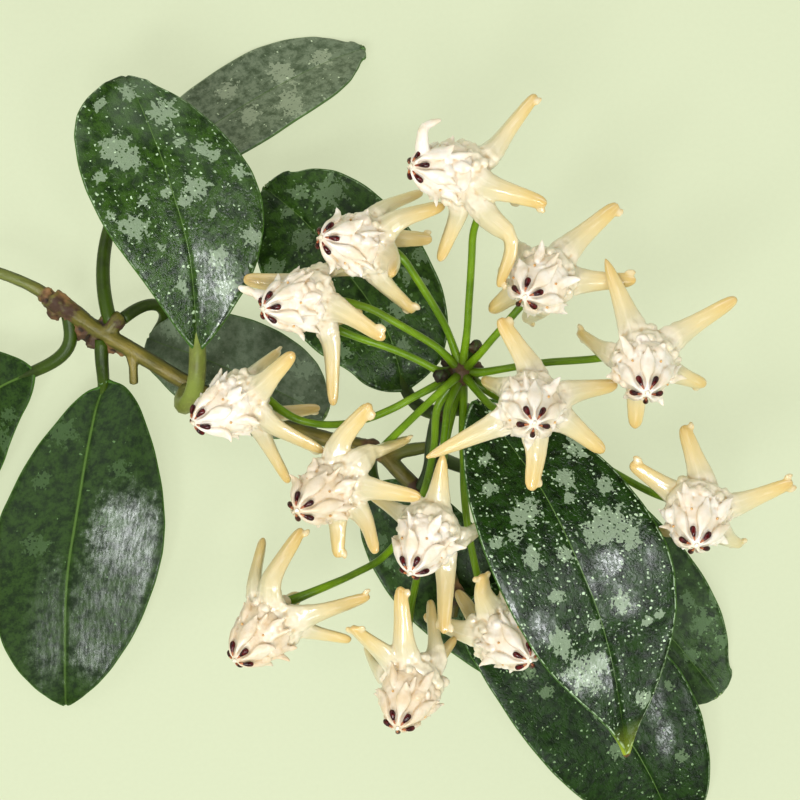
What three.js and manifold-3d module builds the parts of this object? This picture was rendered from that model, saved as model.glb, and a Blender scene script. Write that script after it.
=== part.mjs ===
// A cut stem of a splash-leaved hoya with one umbel of star-shaped flowers, lying on its back on a
// flat surface: +X and +Y run along the surface and +Z rises from it towards the open flowers.
import * as THREE from "three";
import { mergeVertices } from "three/addons/utils/BufferGeometryUtils.js";
import Module from "manifold-3d";

const wasm = await Module();
wasm.setup();

// Driving dimensions in millimetres.
const FLOWER_LENGTH = 20;
const CROWN_START = 8.3;
const CROWN_RADIUS = 5.4;
const SPUR_RADIUS = 8.2;
const COLLAR_RADIUS = 7;
const PETAL_LENGTH = 19;
const PETAL_ROOT_RADIUS = 2.3;
const PETAL_TIP_RADIUS = 1.25;
const PEDICEL_RADIUS = 0.85;
const STEM_RADIUS = 2;
const SHOOT_RADIUS = 1.45;
const HUB_RADIUS = 4.2;
const HUB_HEIGHT = 45;
const LEAF_THICKNESS = 1.2;
const JOINT_GAP = 0.3;

// The flat view from above is divided into steps. One step is this long in the plane of the hub,
// and things nearer the eye look larger, as they do from EYE_DISTANCE away.
const VIEW_STEP = 0.225;
const VIEW_CENTRE = 400;
const EYE_DISTANCE = 650;

const PETALS_PER_FLOWER = 5;
const NEAR = 1;
const FAR = -1;

function seen([across, down, height]) {
  const scale = (VIEW_STEP * (EYE_DISTANCE + HUB_HEIGHT - height)) / EYE_DISTANCE;
  return new THREE.Vector3((across - VIEW_CENTRE) * scale, (VIEW_CENTRE - down) * scale, height);
}

// Solids: closed three.js geometries become manifold solids for the joins and cuts.
function solidOf(geometry) {
  const bare = geometry.clone();
  bare.deleteAttribute("normal");
  bare.deleteAttribute("uv");
  const merged = mergeVertices(bare, 1e-4);
  const corners = merged.index.array;
  const kept = [];
  for (let i = 0; i < corners.length; i += 3) {
    const [a, b, c] = [corners[i], corners[i + 1], corners[i + 2]];
    if (a !== b && b !== c && c !== a) {
      kept.push(a, b, c);
    }
  }
  return new wasm.Manifold(
    new wasm.Mesh({
      numProp: 3,
      vertProperties: new Float32Array(merged.attributes.position.array),
      triVerts: new Uint32Array(kept),
    }),
  );
}

function geometryOf(solid) {
  const mesh = solid.getMesh();
  const geometry = new THREE.BufferGeometry();
  geometry.setAttribute("position", new THREE.BufferAttribute(mesh.vertProperties, 3));
  geometry.setIndex(new THREE.BufferAttribute(mesh.triVerts, 1));
  geometry.computeVertexNormals();
  return geometry;
}

function joined(solids) {
  return solids.reduce((whole, next) => whole.add(next));
}

// A round stalk along a smooth curve, whose radius follows radiusAt(0..1).
function tube(points, radiusAt, sides, rings) {
  const curve = new THREE.CatmullRomCurve3(points, false, "centripetal");
  const frames = curve.computeFrenetFrames(rings, false);
  const geometry = new THREE.CylinderGeometry(1, 1, 1, sides, rings);
  const position = geometry.attributes.position;
  for (let i = 0; i < position.count; i += 1) {
    const along = position.getY(i) + 0.5;
    const ring = Math.round(along * rings);
    const radius = radiusAt(along);
    const place = curve.getPointAt(along);
    place.addScaledVector(frames.normals[ring], position.getX(i) * radius);
    place.addScaledVector(frames.binormals[ring], -position.getZ(i) * radius);
    position.setXYZ(i, place.x, place.y, place.z);
  }
  return solidOf(geometry);
}

function ball(centre, radius) {
  const geometry = new THREE.SphereGeometry(radius, 8, 5);
  geometry.translate(centre.x, centre.y, centre.z);
  return solidOf(geometry);
}

// The woody main stem: nodes are swollen, and its cut ends are plain.
const STEM_ROUTE = [
  [58, 303, 20], [98, 330, 20], [140, 355, 20], [190, 385, 20], [255, 418, 20], [330, 440, 21],
  [375, 450, 22], [402, 474, 22], [418, 493, 22], [432, 530, 21], [445, 565, 19], [453, 592, 18],
  [450, 616, 17],
];
const YOUNG_END_ROUTE = [[62, 306, 20], [42, 292, 20], [16, 279, 21], [-8, 271, 21], [-30, 266, 21]];
const TWIN_STUB_ROUTE = [[103, 333, 20], [113, 326, 20], [120, 319, 20]];
const BUD_STUB_ROUTE = [[140, 356, 20], [146, 348, 22], [149, 343, 24]];
const TAN_STUB_ROUTE = [[130, 350, 20], [133, 366, 20], [134, 384, 19]];
const SIDE_STUB_ROUTE = [[385, 458, 22], [405, 451, 22], [424, 447, 22]];
const SWELLINGS = [
  { at: [62, 306, 20], radius: 3.1 },
  { at: [98, 331, 20], radius: 3 },
  { at: [119, 320, 20], radius: 2.3 },
  { at: [372, 449, 22], radius: 2.6 },
  { at: [418, 493, 22], radius: 2.8 },
  { at: [453, 592, 18], radius: 2.7 },
];

function stalk(route, startRadius, endRadius, sides, rings, extra) {
  const taper = (along) => THREE.MathUtils.lerp(startRadius, endRadius, along) + extra;
  return tube(route.map(seen), taper, sides, rings);
}

function stemSolid(extra) {
  return joined([
    stalk(STEM_ROUTE, STEM_RADIUS * 0.95, STEM_RADIUS * 0.9, 7, 18, extra),
    stalk(YOUNG_END_ROUTE, 1.4, 1.25, 6, 4, extra),
    stalk(TWIN_STUB_ROUTE, 2, 1.9, 6, 2, extra),
    stalk(BUD_STUB_ROUTE, 1.1, 0.8, 6, 2, extra),
    stalk(TAN_STUB_ROUTE, 1.2, 1, 6, 2, extra),
    stalk(SIDE_STUB_ROUTE, 1.7, 1.4, 6, 2, extra),
    ...SWELLINGS.map(({ at, radius }) => ball(seen(at), radius + extra)),
  ]);
}

// The flowering shoot leaves the main stem, bears two leaves and ends in the bumpy hub.
const HUB = seen([462, 372, HUB_HEIGHT]);
const SHOOT_ROUTE = [
  [418, 493, 22], [429, 470, 26], [433, 440, 30], [440, 412, 34], [450, 392, 39], [462, 372, 45],
];
const SHOOT_NODE = { at: [440, 411, 34], radius: 2.3 };
const BRACT_TIPS = [[476, 345, 50], [437, 376, 52], [482, 366, 43]];

function shootSolid(extra) {
  const bract = (tip) => tube([HUB, seen(tip)], () => 1 + extra, 5, 1);
  return joined([
    stalk(SHOOT_ROUTE, SHOOT_RADIUS, SHOOT_RADIUS * 1.3, 7, 7, extra),
    ball(seen(SHOOT_NODE.at), SHOOT_NODE.radius + extra),
    ball(HUB, HUB_RADIUS + extra),
    ...BRACT_TIPS.map(bract),
  ]);
}

// A leaf is one lattice: rows along its stalk and midrib, five columns across, an upper and a
// lower side. The stalk's rows are round and the blade's are wide and thin.
const COLUMNS = [-1, -0.6, 0, 0.6, 1];
const STALK_HEIGHTS = [0.35, 0.85, 1, 0.85, 0.35];
const STALK_ROWS = 5;
const BLADE_ROWS = 10;
const TIP_HALF_WIDTH = 0.3;

// Half the blade's width at a place between its base (0) and tip (1), as a share of the widest.
function bladeOutline(place, baseTaper, tipTaper) {
  const widest = baseTaper / (baseTaper + tipTaper);
  const swell = (at) => at ** baseTaper * (1 - at) ** tipTaper;
  return swell(place) / swell(widest);
}

function leafRow(leaf, curve, share, row) {
  const onBlade = row > STALK_ROWS;
  const blade = (row - STALK_ROWS) / BLADE_ROWS;
  const eased = (blade + (1 - Math.cos(Math.PI * blade)) / 2) / 2;
  const at = onBlade ? share + (1 - share) * eased : (share * row) / STALK_ROWS;
  const tangent = curve.getTangent(at);
  const side = new THREE.Vector3(...leaf.face).cross(tangent).normalize();
  const normal = tangent.clone().cross(side);
  const outline = onBlade ? bladeOutline(eased, leaf.baseTaper, leaf.tipTaper) : 0;
  const half = onBlade ? Math.max((leaf.width / 2) * outline, TIP_HALF_WIDTH) : leaf.stalkRadius;
  return { centre: curve.getPoint(at), side, normal, half, onBlade };
}

function leafPoint(leaf, { centre, side, normal, half, onBlade }, column, top) {
  const across = COLUMNS[column];
  const wing = onBlade ? leaf.curl * half * across ** 2 : 0;
  const height = onBlade ? LEAF_THICKNESS / 2 : leaf.stalkRadius * STALK_HEIGHTS[column];
  const point = centre.clone().addScaledVector(side, across * half);
  return point.addScaledVector(normal, wing + (top ? height : -height));
}

// Leaves that rest on the surface bend down towards their tips until their lowest point is on it.
function settle(position, rows) {
  for (let pass = 0; pass < 8; pass += 1) {
    let lowest = Infinity;
    for (let i = 0; i < position.count; i += 1) {
      lowest = Math.min(lowest, position.getZ(i));
    }
    for (let i = 0; i < position.count; i += 1) {
      const reach = Math.max(0, rows[i] - STALK_ROWS) / BLADE_ROWS;
      position.setZ(i, position.getZ(i) - lowest * reach);
    }
  }
}

function leafSolid(leaf, cutters) {
  const curve = new THREE.CatmullRomCurve3([...leaf.stalk, ...leaf.midrib].map(seen), false, "centripetal");
  const share = leaf.stalk.length / (leaf.stalk.length + leaf.midrib.length - 1);
  const rowCount = STALK_ROWS + BLADE_ROWS;
  const geometry = new THREE.BoxGeometry(1, 1, 1, COLUMNS.length - 1, 1, rowCount);
  const position = geometry.attributes.position;
  const lattice = [];
  for (let row = 0; row <= rowCount; row += 1) {
    lattice.push(leafRow(leaf, curve, share, row));
  }
  const rows = [];
  for (let i = 0; i < position.count; i += 1) {
    const column = Math.round((position.getX(i) + 0.5) * (COLUMNS.length - 1));
    const row = Math.round((position.getZ(i) + 0.5) * rowCount);
    const point = leafPoint(leaf, lattice[row], column, position.getY(i) > 0);
    position.setXYZ(i, point.x, point.y, point.z);
    rows.push(row);
  }
  if (leaf.rests) {
    settle(position, rows);
  }
  return cutters.reduce((whole, cutter) => whole.subtract(cutter), solidOf(geometry));
}

const LEAF_DEFAULTS = {
  face: [0, 0, 1],
  curl: 0.08,
  stalkRadius: 1.5,
  baseTaper: 0.62,
  tipTaper: 0.62,
  rests: false,
};
const LEAVES = [
  {
    name: "leaf_front_left",
    stalk: [[172, 375, 20], [176, 398, 24], [186, 404, 31], [195, 388, 36], [198, 366, 37]],
    midrib: [[198, 350, 37], [190, 290, 41], [173, 213, 43], [149, 142, 42], [119, 78, 38]],
    width: 37,
    stalkRadius: 2,
    baseTaper: 0.85,
    tipTaper: 0.48,
  },
  {
    name: "leaf_top",
    stalk: [[112, 327, 20], [104, 298, 20], [103, 255, 18], [113, 215, 16]],
    midrib: [[128, 190, 14], [195, 139, 13], [265, 94, 9], [325, 64, 5], [362, 50, 2]],
    width: 28,
    tipTaper: 0.75,
    face: [-0.35, 0.5, 0.79],
    rests: true,
  },
  {
    name: "leaf_behind_flowers",
    stalk: [[440, 411, 34], [426, 412, 34], [414, 403, 32]],
    midrib: [[405, 390, 31], [388, 333, 31], [349, 275, 29], [305, 222, 25], [266, 188, 21]],
    width: 35,
  },
  {
    name: "leaf_behind_stem",
    stalk: [[119, 322, 20], [137, 308, 16], [156, 303, 12], [166, 314, 7], [160, 329, 4]],
    midrib: [[150, 337, 6], [195, 355, 9], [245, 376, 10], [290, 397, 9], [325, 415, 7]],
    width: 26,
    stalkRadius: 1.3,
  },
  {
    name: "leaf_front_right",
    stalk: [[440, 411, 34], [456, 407, 32], [472, 410, 37], [478, 422, 45]],
    midrib: [[480, 434, 51], [520, 472, 57], [562, 542, 60], [598, 632, 58], [627, 754, 48]],
    width: 39.5,
    tipTaper: 0.8,
  },
  {
    name: "leaf_bottom",
    stalk: [[453, 592, 18], [460, 596, 19]],
    midrib: [[468, 602, 19], [543, 650, 20], [604, 707, 17], [646, 768, 11], [680, 842, 2]],
    width: 38.5,
    rests: true,
  },
  {
    name: "leaf_low_middle",
    stalk: [[372, 449, 22], [370, 461, 16], [371, 473, 13]],
    midrib: [[374, 484, 12], [402, 522, 10], [440, 570, 8], [490, 625, 7], [545, 690, 5]],
    width: 26,
  },
  {
    name: "leaf_right_rear",
    stalk: [[432, 455, 28], [447, 461, 22], [470, 470, 18]],
    midrib: [[490, 472, 15], [545, 512, 13], [608, 572, 11], [668, 634, 7], [718, 695, 1]],
    width: 34,
    rests: true,
  },
  {
    name: "leaf_bottom_left",
    stalk: [[99, 332, 20], [101, 358, 19]],
    midrib: [[103, 382, 17], [96, 450, 14], [84, 540, 10], [73, 630, 5], [64, 703, 1]],
    width: 38.5,
    baseTaper: 0.8,
    tipTaper: 0.52,
    rests: true,
  },
  {
    name: "leaf_far_left",
    stalk: [[64, 308, 20], [74, 338, 19], [58, 360, 18]],
    midrib: [[34, 371, 16], [-20, 399, 13], [-64, 446, 9], [-96, 502, 4], [-118, 560, 1]],
    width: 33,
    baseTaper: 0.75,
    rests: true,
  },
];

// Flowers: the nose and the back are the ends of the flower's axis in the view, and the nose's
// height is given. A petal is given by where its tip is seen and whether it lies nearer the eye
// or farther from it than its root; bend is a point that its route passes.
const FLOWERS = [
  {
    name: "01",
    nose: [412, 168, 80],
    back: [488, 194],
    horn: [[430, 168, 78], [421, 142, 79], [428, 122, 79], [441, 120, 78]],
    petals: [
      { tip: [536, 94], lies: FAR },
      { tip: [524, 202], lies: FAR },
      { tip: [498, 287], lies: NEAR, bend: [513, 233, 78] },
      { tip: [439, 261], lies: FAR },
    ],
    pedicel: [[467, 330, 52], [471, 270, 58], [474, 228, 63]],
  },
  {
    name: "02",
    nose: [315, 237, 70],
    back: [392, 243],
    petals: [
      { tip: [422, 192], lies: FAR },
      { tip: [432, 239], lies: FAR },
      { tip: [414, 312], lies: FAR },
      { tip: [392, 274], lies: NEAR },
    ],
    pedicel: [[448, 332, 50], [430, 300, 54], [408, 266, 58]],
  },
  {
    name: "03",
    nose: [258, 314, 68],
    back: [335, 300],
    horn: [[285, 306, 62], [262, 296, 62], [238, 287, 61]],
    petals: [
      { tip: [375, 271], lies: FAR },
      { tip: [362, 312], lies: FAR },
      { tip: [385, 339], lies: NEAR },
      { tip: [333, 406], lies: FAR },
      { tip: [243, 279], lies: FAR },
    ],
    pedicel: [[440, 350, 50], [400, 325, 54], [366, 307, 57]],
  },
  {
    name: "04",
    nose: [189, 421, 60],
    back: [272, 403],
    petals: [
      { tip: [294, 353], lies: NEAR },
      { tip: [320, 408], lies: FAR },
      { tip: [324, 452], lies: NEAR },
      { tip: [289, 483], lies: FAR },
    ],
    pedicel: [[438, 383, 47], [400, 405, 48], [350, 423, 50], [302, 421, 53]],
  },
  {
    name: "05",
    nose: [292, 509, 72],
    back: [356, 470],
    petals: [
      { tip: [371, 404], lies: NEAR },
      { tip: [410, 438], lies: FAR },
      { tip: [421, 497], lies: NEAR },
      { tip: [376, 553], lies: NEAR },
      { tip: [338, 558], lies: FAR },
    ],
    pedicel: [[445, 387, 52], [405, 425, 57], [372, 457, 60]],
  },
  {
    name: "06",
    nose: [230, 660, 58],
    back: [287, 596],
    petals: [
      { tip: [263, 538], lies: FAR },
      { tip: [302, 528], lies: NEAR },
      { tip: [370, 596], lies: NEAR },
      { tip: [351, 640], lies: FAR },
    ],
    pedicel: [[440, 398, 44], [430, 470, 36], [408, 527, 31], [384, 556, 33], [345, 578, 42], [312, 591, 50]],
  },
  {
    name: "07",
    nose: [412, 575, 66],
    back: [438, 520],
    petals: [
      { tip: [443, 453], lies: NEAR },
      { tip: [367, 492], lies: FAR },
      { tip: [494, 512], lies: FAR },
      { tip: [444, 634], lies: FAR },
    ],
    pedicel: [[449, 402, 48], [444, 440, 50], [441, 488, 51]],
  },
  {
    name: "08",
    nose: [397, 725, 62],
    back: [404, 650],
    petals: [
      { tip: [352, 627], lies: NEAR },
      { tip: [400, 586], lies: NEAR },
      { tip: [430, 600], lies: FAR },
      { tip: [455, 638], lies: FAR },
    ],
    pedicel: [[450, 405, 40], [441, 480, 35], [421, 560, 36], [411, 605, 40], [407, 635, 46]],
  },
  {
    name: "09",
    nose: [530, 662, 50],
    back: [488, 612],
    petals: [
      { tip: [457, 590], lies: FAR },
      { tip: [482, 575], lies: NEAR },
    ],
    pedicel: [[462, 406, 41], [463, 450, 37], [465, 506, 33], [476, 570, 33]],
  },
  {
    name: "10",
    nose: [533, 416, 92],
    back: [541, 400],
    petals: [
      { tip: [499, 318], lies: FAR },
      { tip: [425, 458], lies: FAR },
      { tip: [531, 491], lies: FAR },
      { tip: [604, 452], lies: FAR },
      { tip: [617, 385], lies: FAR },
      { tip: [483, 381], lies: FAR },
    ],
    pedicel: [[482, 397, 54], [501, 411, 62]],
  },
  {
    name: "11",
    nose: [527, 292, 82],
    back: [550, 272],
    petals: [
      { tip: [618, 204], lies: FAR },
      { tip: [636, 280], lies: FAR },
      { tip: [490, 311], lies: FAR },
      { tip: [525, 320], lies: FAR },
      { tip: [515, 241], lies: FAR },
    ],
    pedicel: [[481, 352, 52], [507, 322, 58]],
  },
  {
    name: "12",
    nose: [647, 390, 84],
    back: [643, 348],
    petals: [
      { tip: [605, 258], lies: FAR },
      { tip: [737, 298], lies: FAR },
      { tip: [578, 332], lies: FAR },
      { tip: [705, 385], lies: FAR },
      { tip: [635, 428], lies: FAR },
    ],
    pedicel: [[490, 371, 50], [540, 363, 55], [600, 358, 61]],
  },
  {
    name: "13",
    nose: [697, 545, 78],
    back: [708, 503],
    petals: [
      { tip: [683, 425], lies: FAR },
      { tip: [793, 482], lies: FAR },
      { tip: [630, 463], lies: FAR },
      { tip: [740, 545], lies: FAR },
      { tip: [660, 532], lies: FAR },
    ],
    pedicel: [[481, 385, 46], [502, 401, 45], [540, 425, 42], [610, 470, 44], [670, 500, 50]],
  },
];
const BARE_PEDICEL_ROUTE = [[442, 372, 47], [400, 352, 49], [347, 334, 50]];

// The flower's axis: from its back, where the pedicel arrives, to the nose.
function flowerAxis(flower) {
  const nose = seen(flower.nose);
  let back = nose.clone();
  for (let pass = 0; pass < 4; pass += 1) {
    back = seen([...flower.back, back.z]);
    const flat = Math.hypot(nose.x - back.x, nose.y - back.y);
    const drop = Math.sqrt(Math.max(0, FLOWER_LENGTH ** 2 - flat ** 2));
    back = seen([...flower.back, nose.z - drop]);
  }
  const direction = nose.clone().sub(back).normalize();
  const facing = new THREE.Vector3(0, 0.35, 1);
  facing.addScaledVector(direction, -facing.dot(direction)).normalize();
  const aside = direction.clone().cross(facing);
  const turn = new THREE.Matrix4().makeBasis(aside, direction, facing);
  return { back, direction, facing, aside, turn };
}

function onAxis(axis, shape) {
  shape.applyMatrix4(axis.turn);
  shape.translate(axis.back.x, axis.back.y, axis.back.z);
  return solidOf(shape);
}

function lathe(profile, segments) {
  return new THREE.LatheGeometry(profile.map(([radius, height]) => new THREE.Vector2(radius, height)), segments);
}

function petalTip({ tip, lies }, root) {
  let place = seen([...tip, root.z]);
  for (let pass = 0; pass < 4; pass += 1) {
    const flat = Math.hypot(place.x - root.x, place.y - root.y);
    const rise = Math.sqrt(Math.max(0, PETAL_LENGTH ** 2 - flat ** 2));
    place = seen([...tip, root.z + lies * rise]);
  }
  return place;
}

// Petals stand evenly round the axis, turned part of the way towards where their tips lie. A petal
// that the others hide fills the widest gap and bends straight back.
function petalPlan(flower, axis) {
  const root = axis.back.clone().addScaledVector(axis.direction, 4);
  const outward = (angle) =>
    axis.aside.clone().multiplyScalar(Math.cos(angle)).addScaledVector(axis.facing, Math.sin(angle));
  const plan = flower.petals.map((petal) => {
    const tip = petalTip(petal, root);
    const reach = tip.clone().sub(root);
    const angle = Math.atan2(reach.dot(axis.facing), reach.dot(axis.aside));
    return { tip, angle, bend: petal.bend ? seen(petal.bend) : null };
  });
  while (plan.length < PETALS_PER_FLOWER) {
    plan.sort((a, b) => a.angle - b.angle);
    const gaps = plan.map((petal, i) => {
      const next = i + 1 < plan.length ? plan[i + 1].angle : plan[0].angle + 2 * Math.PI;
      return next - petal.angle;
    });
    const widest = gaps.indexOf(Math.max(...gaps));
    const angle = plan[widest].angle + gaps[widest] / 2;
    const tip = root.clone().addScaledVector(outward(angle), 13).addScaledVector(axis.direction, -11);
    plan.push({ tip, angle, bend: null });
  }
  plan.sort((a, b) => a.angle - b.angle);
  const spacing = (2 * Math.PI) / plan.length;
  const phase = plan.reduce((sum, petal, i) => sum + petal.angle - i * spacing, 0) / plan.length;
  return plan.map((petal, i) => {
    const even = phase + i * spacing;
    const angle = even + 0.5 * (petal.angle - even);
    return { ...petal, root, outward: outward(angle) };
  });
}

function petalSolid({ tip, bend, root, outward }, direction, extra) {
  const start = root.clone().addScaledVector(outward, 2.5).addScaledVector(direction, 0.5);
  const shoulder = root.clone().addScaledVector(outward, 6.5).addScaledVector(direction, -0.5);
  const route = bend ? [start, shoulder, bend, tip] : [start, shoulder, tip];
  const taper = (along) => {
    const narrowed = THREE.MathUtils.lerp(PETAL_ROOT_RADIUS, PETAL_TIP_RADIUS, Math.min(1, along * 1.2));
    return (along > 0.99 ? PETAL_TIP_RADIUS * 0.5 : narrowed) + extra;
  };
  return tube(route, taper, 5, bend ? 6 : 4);
}

const COLLAR_PROFILE = [
  [0, 0],
  [1.6, 0],
  [COLLAR_RADIUS * 0.85, 2.6],
  [COLLAR_RADIUS, 5],
  [COLLAR_RADIUS * 0.7, CROWN_START - JOINT_GAP],
  [0, CROWN_START - JOINT_GAP],
];
const COLLAR_SIDES = 8;
// The crown's rings from back to nose: every second corner of the spur ring reaches out as a spur.
const CROWN_PROFILE = [
  [0, CROWN_START],
  [CROWN_RADIUS * 0.75, CROWN_START],
  [CROWN_RADIUS, CROWN_START + 1.6],
  [CROWN_RADIUS * 0.72, CROWN_START + 6],
  [1.3, FLOWER_LENGTH - 0.9],
  [0, FLOWER_LENGTH],
];
const CROWN_SIDES = 10;

function corollaSolid(flower, axis, extra) {
  const grown = COLLAR_PROFILE.map(([radius, height]) => {
    const raised = height > 0 ? height : -extra;
    return [radius > 0 ? radius + extra : 0, raised];
  });
  const collar = onAxis(axis, lathe(grown, COLLAR_SIDES));
  const petals = petalPlan(flower, axis).map((petal) => petalSolid(petal, axis.direction, extra));
  return joined([collar, ...petals]);
}

// A few spurs are drawn out into long curled horns.
function hornSolid(route) {
  return tube(route.map(seen), (along) => THREE.MathUtils.lerp(1.9, 0.45, along), 5, 3);
}

function crownSolid(flower, axis) {
  const shape = lathe(CROWN_PROFILE, CROWN_SIDES);
  const position = shape.attributes.position;
  for (let i = 0; i < position.count; i += 1) {
    const onSpurRing = Math.abs(position.getY(i) - CROWN_PROFILE[2][1]) < 0.01;
    const corner = Math.round((Math.atan2(position.getX(i), position.getZ(i)) * CROWN_SIDES) / (2 * Math.PI));
    if (onSpurRing && corner % 2 === 0) {
      const reach = SPUR_RADIUS / CROWN_RADIUS;
      position.setXYZ(i, position.getX(i) * reach, position.getY(i) - 1, position.getZ(i) * reach);
    }
  }
  const crown = onAxis(axis, shape);
  return flower.horn ? crown.add(hornSolid(flower.horn)) : crown;
}

// The pedicels leave the hub spread apart, however close together their flowers are seen.
function spreadDirections(targets, least) {
  const directions = targets.map((target) => target.clone().sub(HUB).normalize());
  for (let pass = 0; pass < 200; pass += 1) {
    directions.forEach((a, i) => {
      directions.slice(i + 1).forEach((b) => {
        const angle = a.angleTo(b);
        if (angle < least) {
          const push = a.clone().sub(b).normalize().multiplyScalar((least - angle) / 3);
          a.add(push).normalize();
          b.sub(push).normalize();
        }
      });
    });
  }
  return directions;
}

const LEAST_SPREAD = 0.56;
const PEDICEL_SEAT = 5.6;

function pedicelSolids(axes, shootCutter) {
  const routes = FLOWERS.map((flower, i) => {
    const seat = axes[i].back.clone().addScaledVector(axes[i].direction, JOINT_GAP);
    return [...flower.pedicel.map(seen), seat];
  });
  routes.push(BARE_PEDICEL_ROUTE.map(seen));
  const directions = spreadDirections(routes.map((route) => route[0]), LEAST_SPREAD);
  return routes.map((route, i) => {
    const root = HUB.clone().addScaledVector(directions[i], PEDICEL_SEAT);
    const whole = tube([HUB, root, ...route], () => PEDICEL_RADIUS, 6, 8).subtract(shootCutter);
    const flower = FLOWERS[i];
    return flower ? whole.subtract(corollaSolid(flower, axes[i], JOINT_GAP)) : whole;
  });
}

// Finishes.
function finish(color, roughness) {
  return new THREE.MeshStandardMaterial({ color, roughness, metalness: 0 });
}

const plant = new THREE.Group();

function place(name, solid, color, roughness) {
  const mesh = new THREE.Mesh(geometryOf(solid), finish(color, roughness));
  mesh.name = name;
  plant.add(mesh);
}

const stem = stemSolid(0);
const stemCutter = stemSolid(JOINT_GAP);
const shootCutter = shootSolid(JOINT_GAP);
place("main_stem", stem, 0x7d7a3a, 0.6);
place("flowering_shoot", shootSolid(0).subtract(stemCutter), 0x4b5a22, 0.55);

LEAVES.forEach((entry) => {
  const leaf = { ...LEAF_DEFAULTS, ...entry };
  place(leaf.name, leafSolid(leaf, [stemCutter, shootCutter]), 0x1f3a1a, 0.3);
});

const axes = FLOWERS.map(flowerAxis);
const pedicels = pedicelSolids(axes, shootCutter);
FLOWERS.forEach((flower, i) => {
  place(`corolla_${flower.name}`, corollaSolid(flower, axes[i], 0), 0xe9dcb0, 0.4);
  place(`corona_${flower.name}`, crownSolid(flower, axes[i]), 0xf6efe4, 0.35);
  place(`pedicel_${flower.name}`, pedicels[i], 0x6fa32f, 0.45);
});
place("pedicel_bare", pedicels[FLOWERS.length], 0x6fa32f, 0.45);

// The origin is the middle of the footprint, on the surface that the cutting lies on.
const bounds = new THREE.Box3().setFromObject(plant);
const middle = bounds.getCenter(new THREE.Vector3());
plant.position.set(-middle.x, -middle.y, -bounds.min.z);

export default plant;
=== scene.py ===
# %% [markdown]
# # A hoya cutting with an umbel of star-shaped flowers
#
# The real plant is a climber. A woody stem carries thick, glossy leaves that are splashed with
# silver, and a short shoot ends in a hub from which a dozen thin green stalks spread out. Each of
# them holds one waxy flower: a white crown with five dark red drops, and narrow petals that sweep
# back and turn yellow towards their tips.
#
# The CAD model is the frame. It says where each leaf, stalk and flower is, so this file reads the
# places from its nodes and models every piece anew, finely, in the same spot.

import math
import random

import bpy
import numpy as np
from mathutils import Matrix, Vector, noise


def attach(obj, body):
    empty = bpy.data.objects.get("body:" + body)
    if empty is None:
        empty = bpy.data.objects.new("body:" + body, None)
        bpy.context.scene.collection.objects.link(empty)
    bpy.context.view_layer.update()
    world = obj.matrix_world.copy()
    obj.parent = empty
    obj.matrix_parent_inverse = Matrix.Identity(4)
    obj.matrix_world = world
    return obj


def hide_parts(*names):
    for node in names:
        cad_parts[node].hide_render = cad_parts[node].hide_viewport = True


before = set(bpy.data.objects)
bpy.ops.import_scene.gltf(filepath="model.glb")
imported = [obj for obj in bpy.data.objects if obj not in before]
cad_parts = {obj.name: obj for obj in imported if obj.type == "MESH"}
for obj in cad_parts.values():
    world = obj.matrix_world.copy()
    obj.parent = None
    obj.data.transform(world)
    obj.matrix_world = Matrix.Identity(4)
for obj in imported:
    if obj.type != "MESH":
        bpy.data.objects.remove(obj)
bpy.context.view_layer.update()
MM = 0.001


# %% [markdown]
# ## The floor, the camera and the light
#
# The cutting lies on its back, so the camera looks straight down on it with the top of the picture
# towards +Y. It hangs 650 mm above the hub of the umbel, and its lens takes in 180 mm there. The
# floor is plain and pale. Three big soft lamps stand round the plant, away from the zenith, because
# the glossy leaves would mirror light from beside the camera as a grey veil. Four small lamps stand
# where the front leaves mirror them in a few patches.

# %% Camera
CAMERA_OVER = Vector((22.9, 9.3, 0)) * MM
HUB_HEIGHT = 45 * MM
CAMERA_RISE = 650 * MM
VIEW_WIDTH = 180 * MM
SENSOR = 36

camera_data = bpy.data.cameras.new("camera")
camera_data.sensor_width = SENSOR
camera_data.lens = SENSOR * CAMERA_RISE / VIEW_WIDTH
camera = bpy.data.objects.new("camera", camera_data)
camera.location = CAMERA_OVER + Vector((0, 0, HUB_HEIGHT + CAMERA_RISE))
bpy.context.collection.objects.link(camera)
bpy.context.scene.camera = camera
print("camera", round(camera_data.lens), "mm lens,", round(camera.location.z / MM), "mm up")

# %% Places as the camera sees them
PICTURE_MIDDLE = 400
PIXEL = VIEW_WIDTH / (2 * PICTURE_MIDDLE)


def in_view(across, down, height):
    """The place at a height in mm that the camera sees this many pixels across and down."""
    step = PIXEL * (camera.location.z - height * MM) / CAMERA_RISE
    x = CAMERA_OVER.x + (across - PICTURE_MIDDLE) * step
    y = CAMERA_OVER.y + (PICTURE_MIDDLE - down) * step
    return np.array([x, y, height * MM])


def picture_place(corners):
    """Where the camera sees each corner, in pixels across and down."""
    shrink = CAMERA_RISE / (camera.location.z - corners[:, 2]) / PIXEL
    across = PICTURE_MIDDLE + (corners[:, 0] - CAMERA_OVER.x) * shrink
    down = PICTURE_MIDDLE - (corners[:, 1] - CAMERA_OVER.y) * shrink
    return np.stack([across, down], axis=1)


print("the picture's middle is", in_view(PICTURE_MIDDLE, PICTURE_MIDDLE, HUB_HEIGHT / MM).round(4))

# %% Lamps
LAMP_DISTANCE = 1.1
WHITE = (1.0, 1.0, 1.0)
WARM = (1.0, 0.97, 0.92)
COOL = (0.96, 0.99, 1.0)


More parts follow.
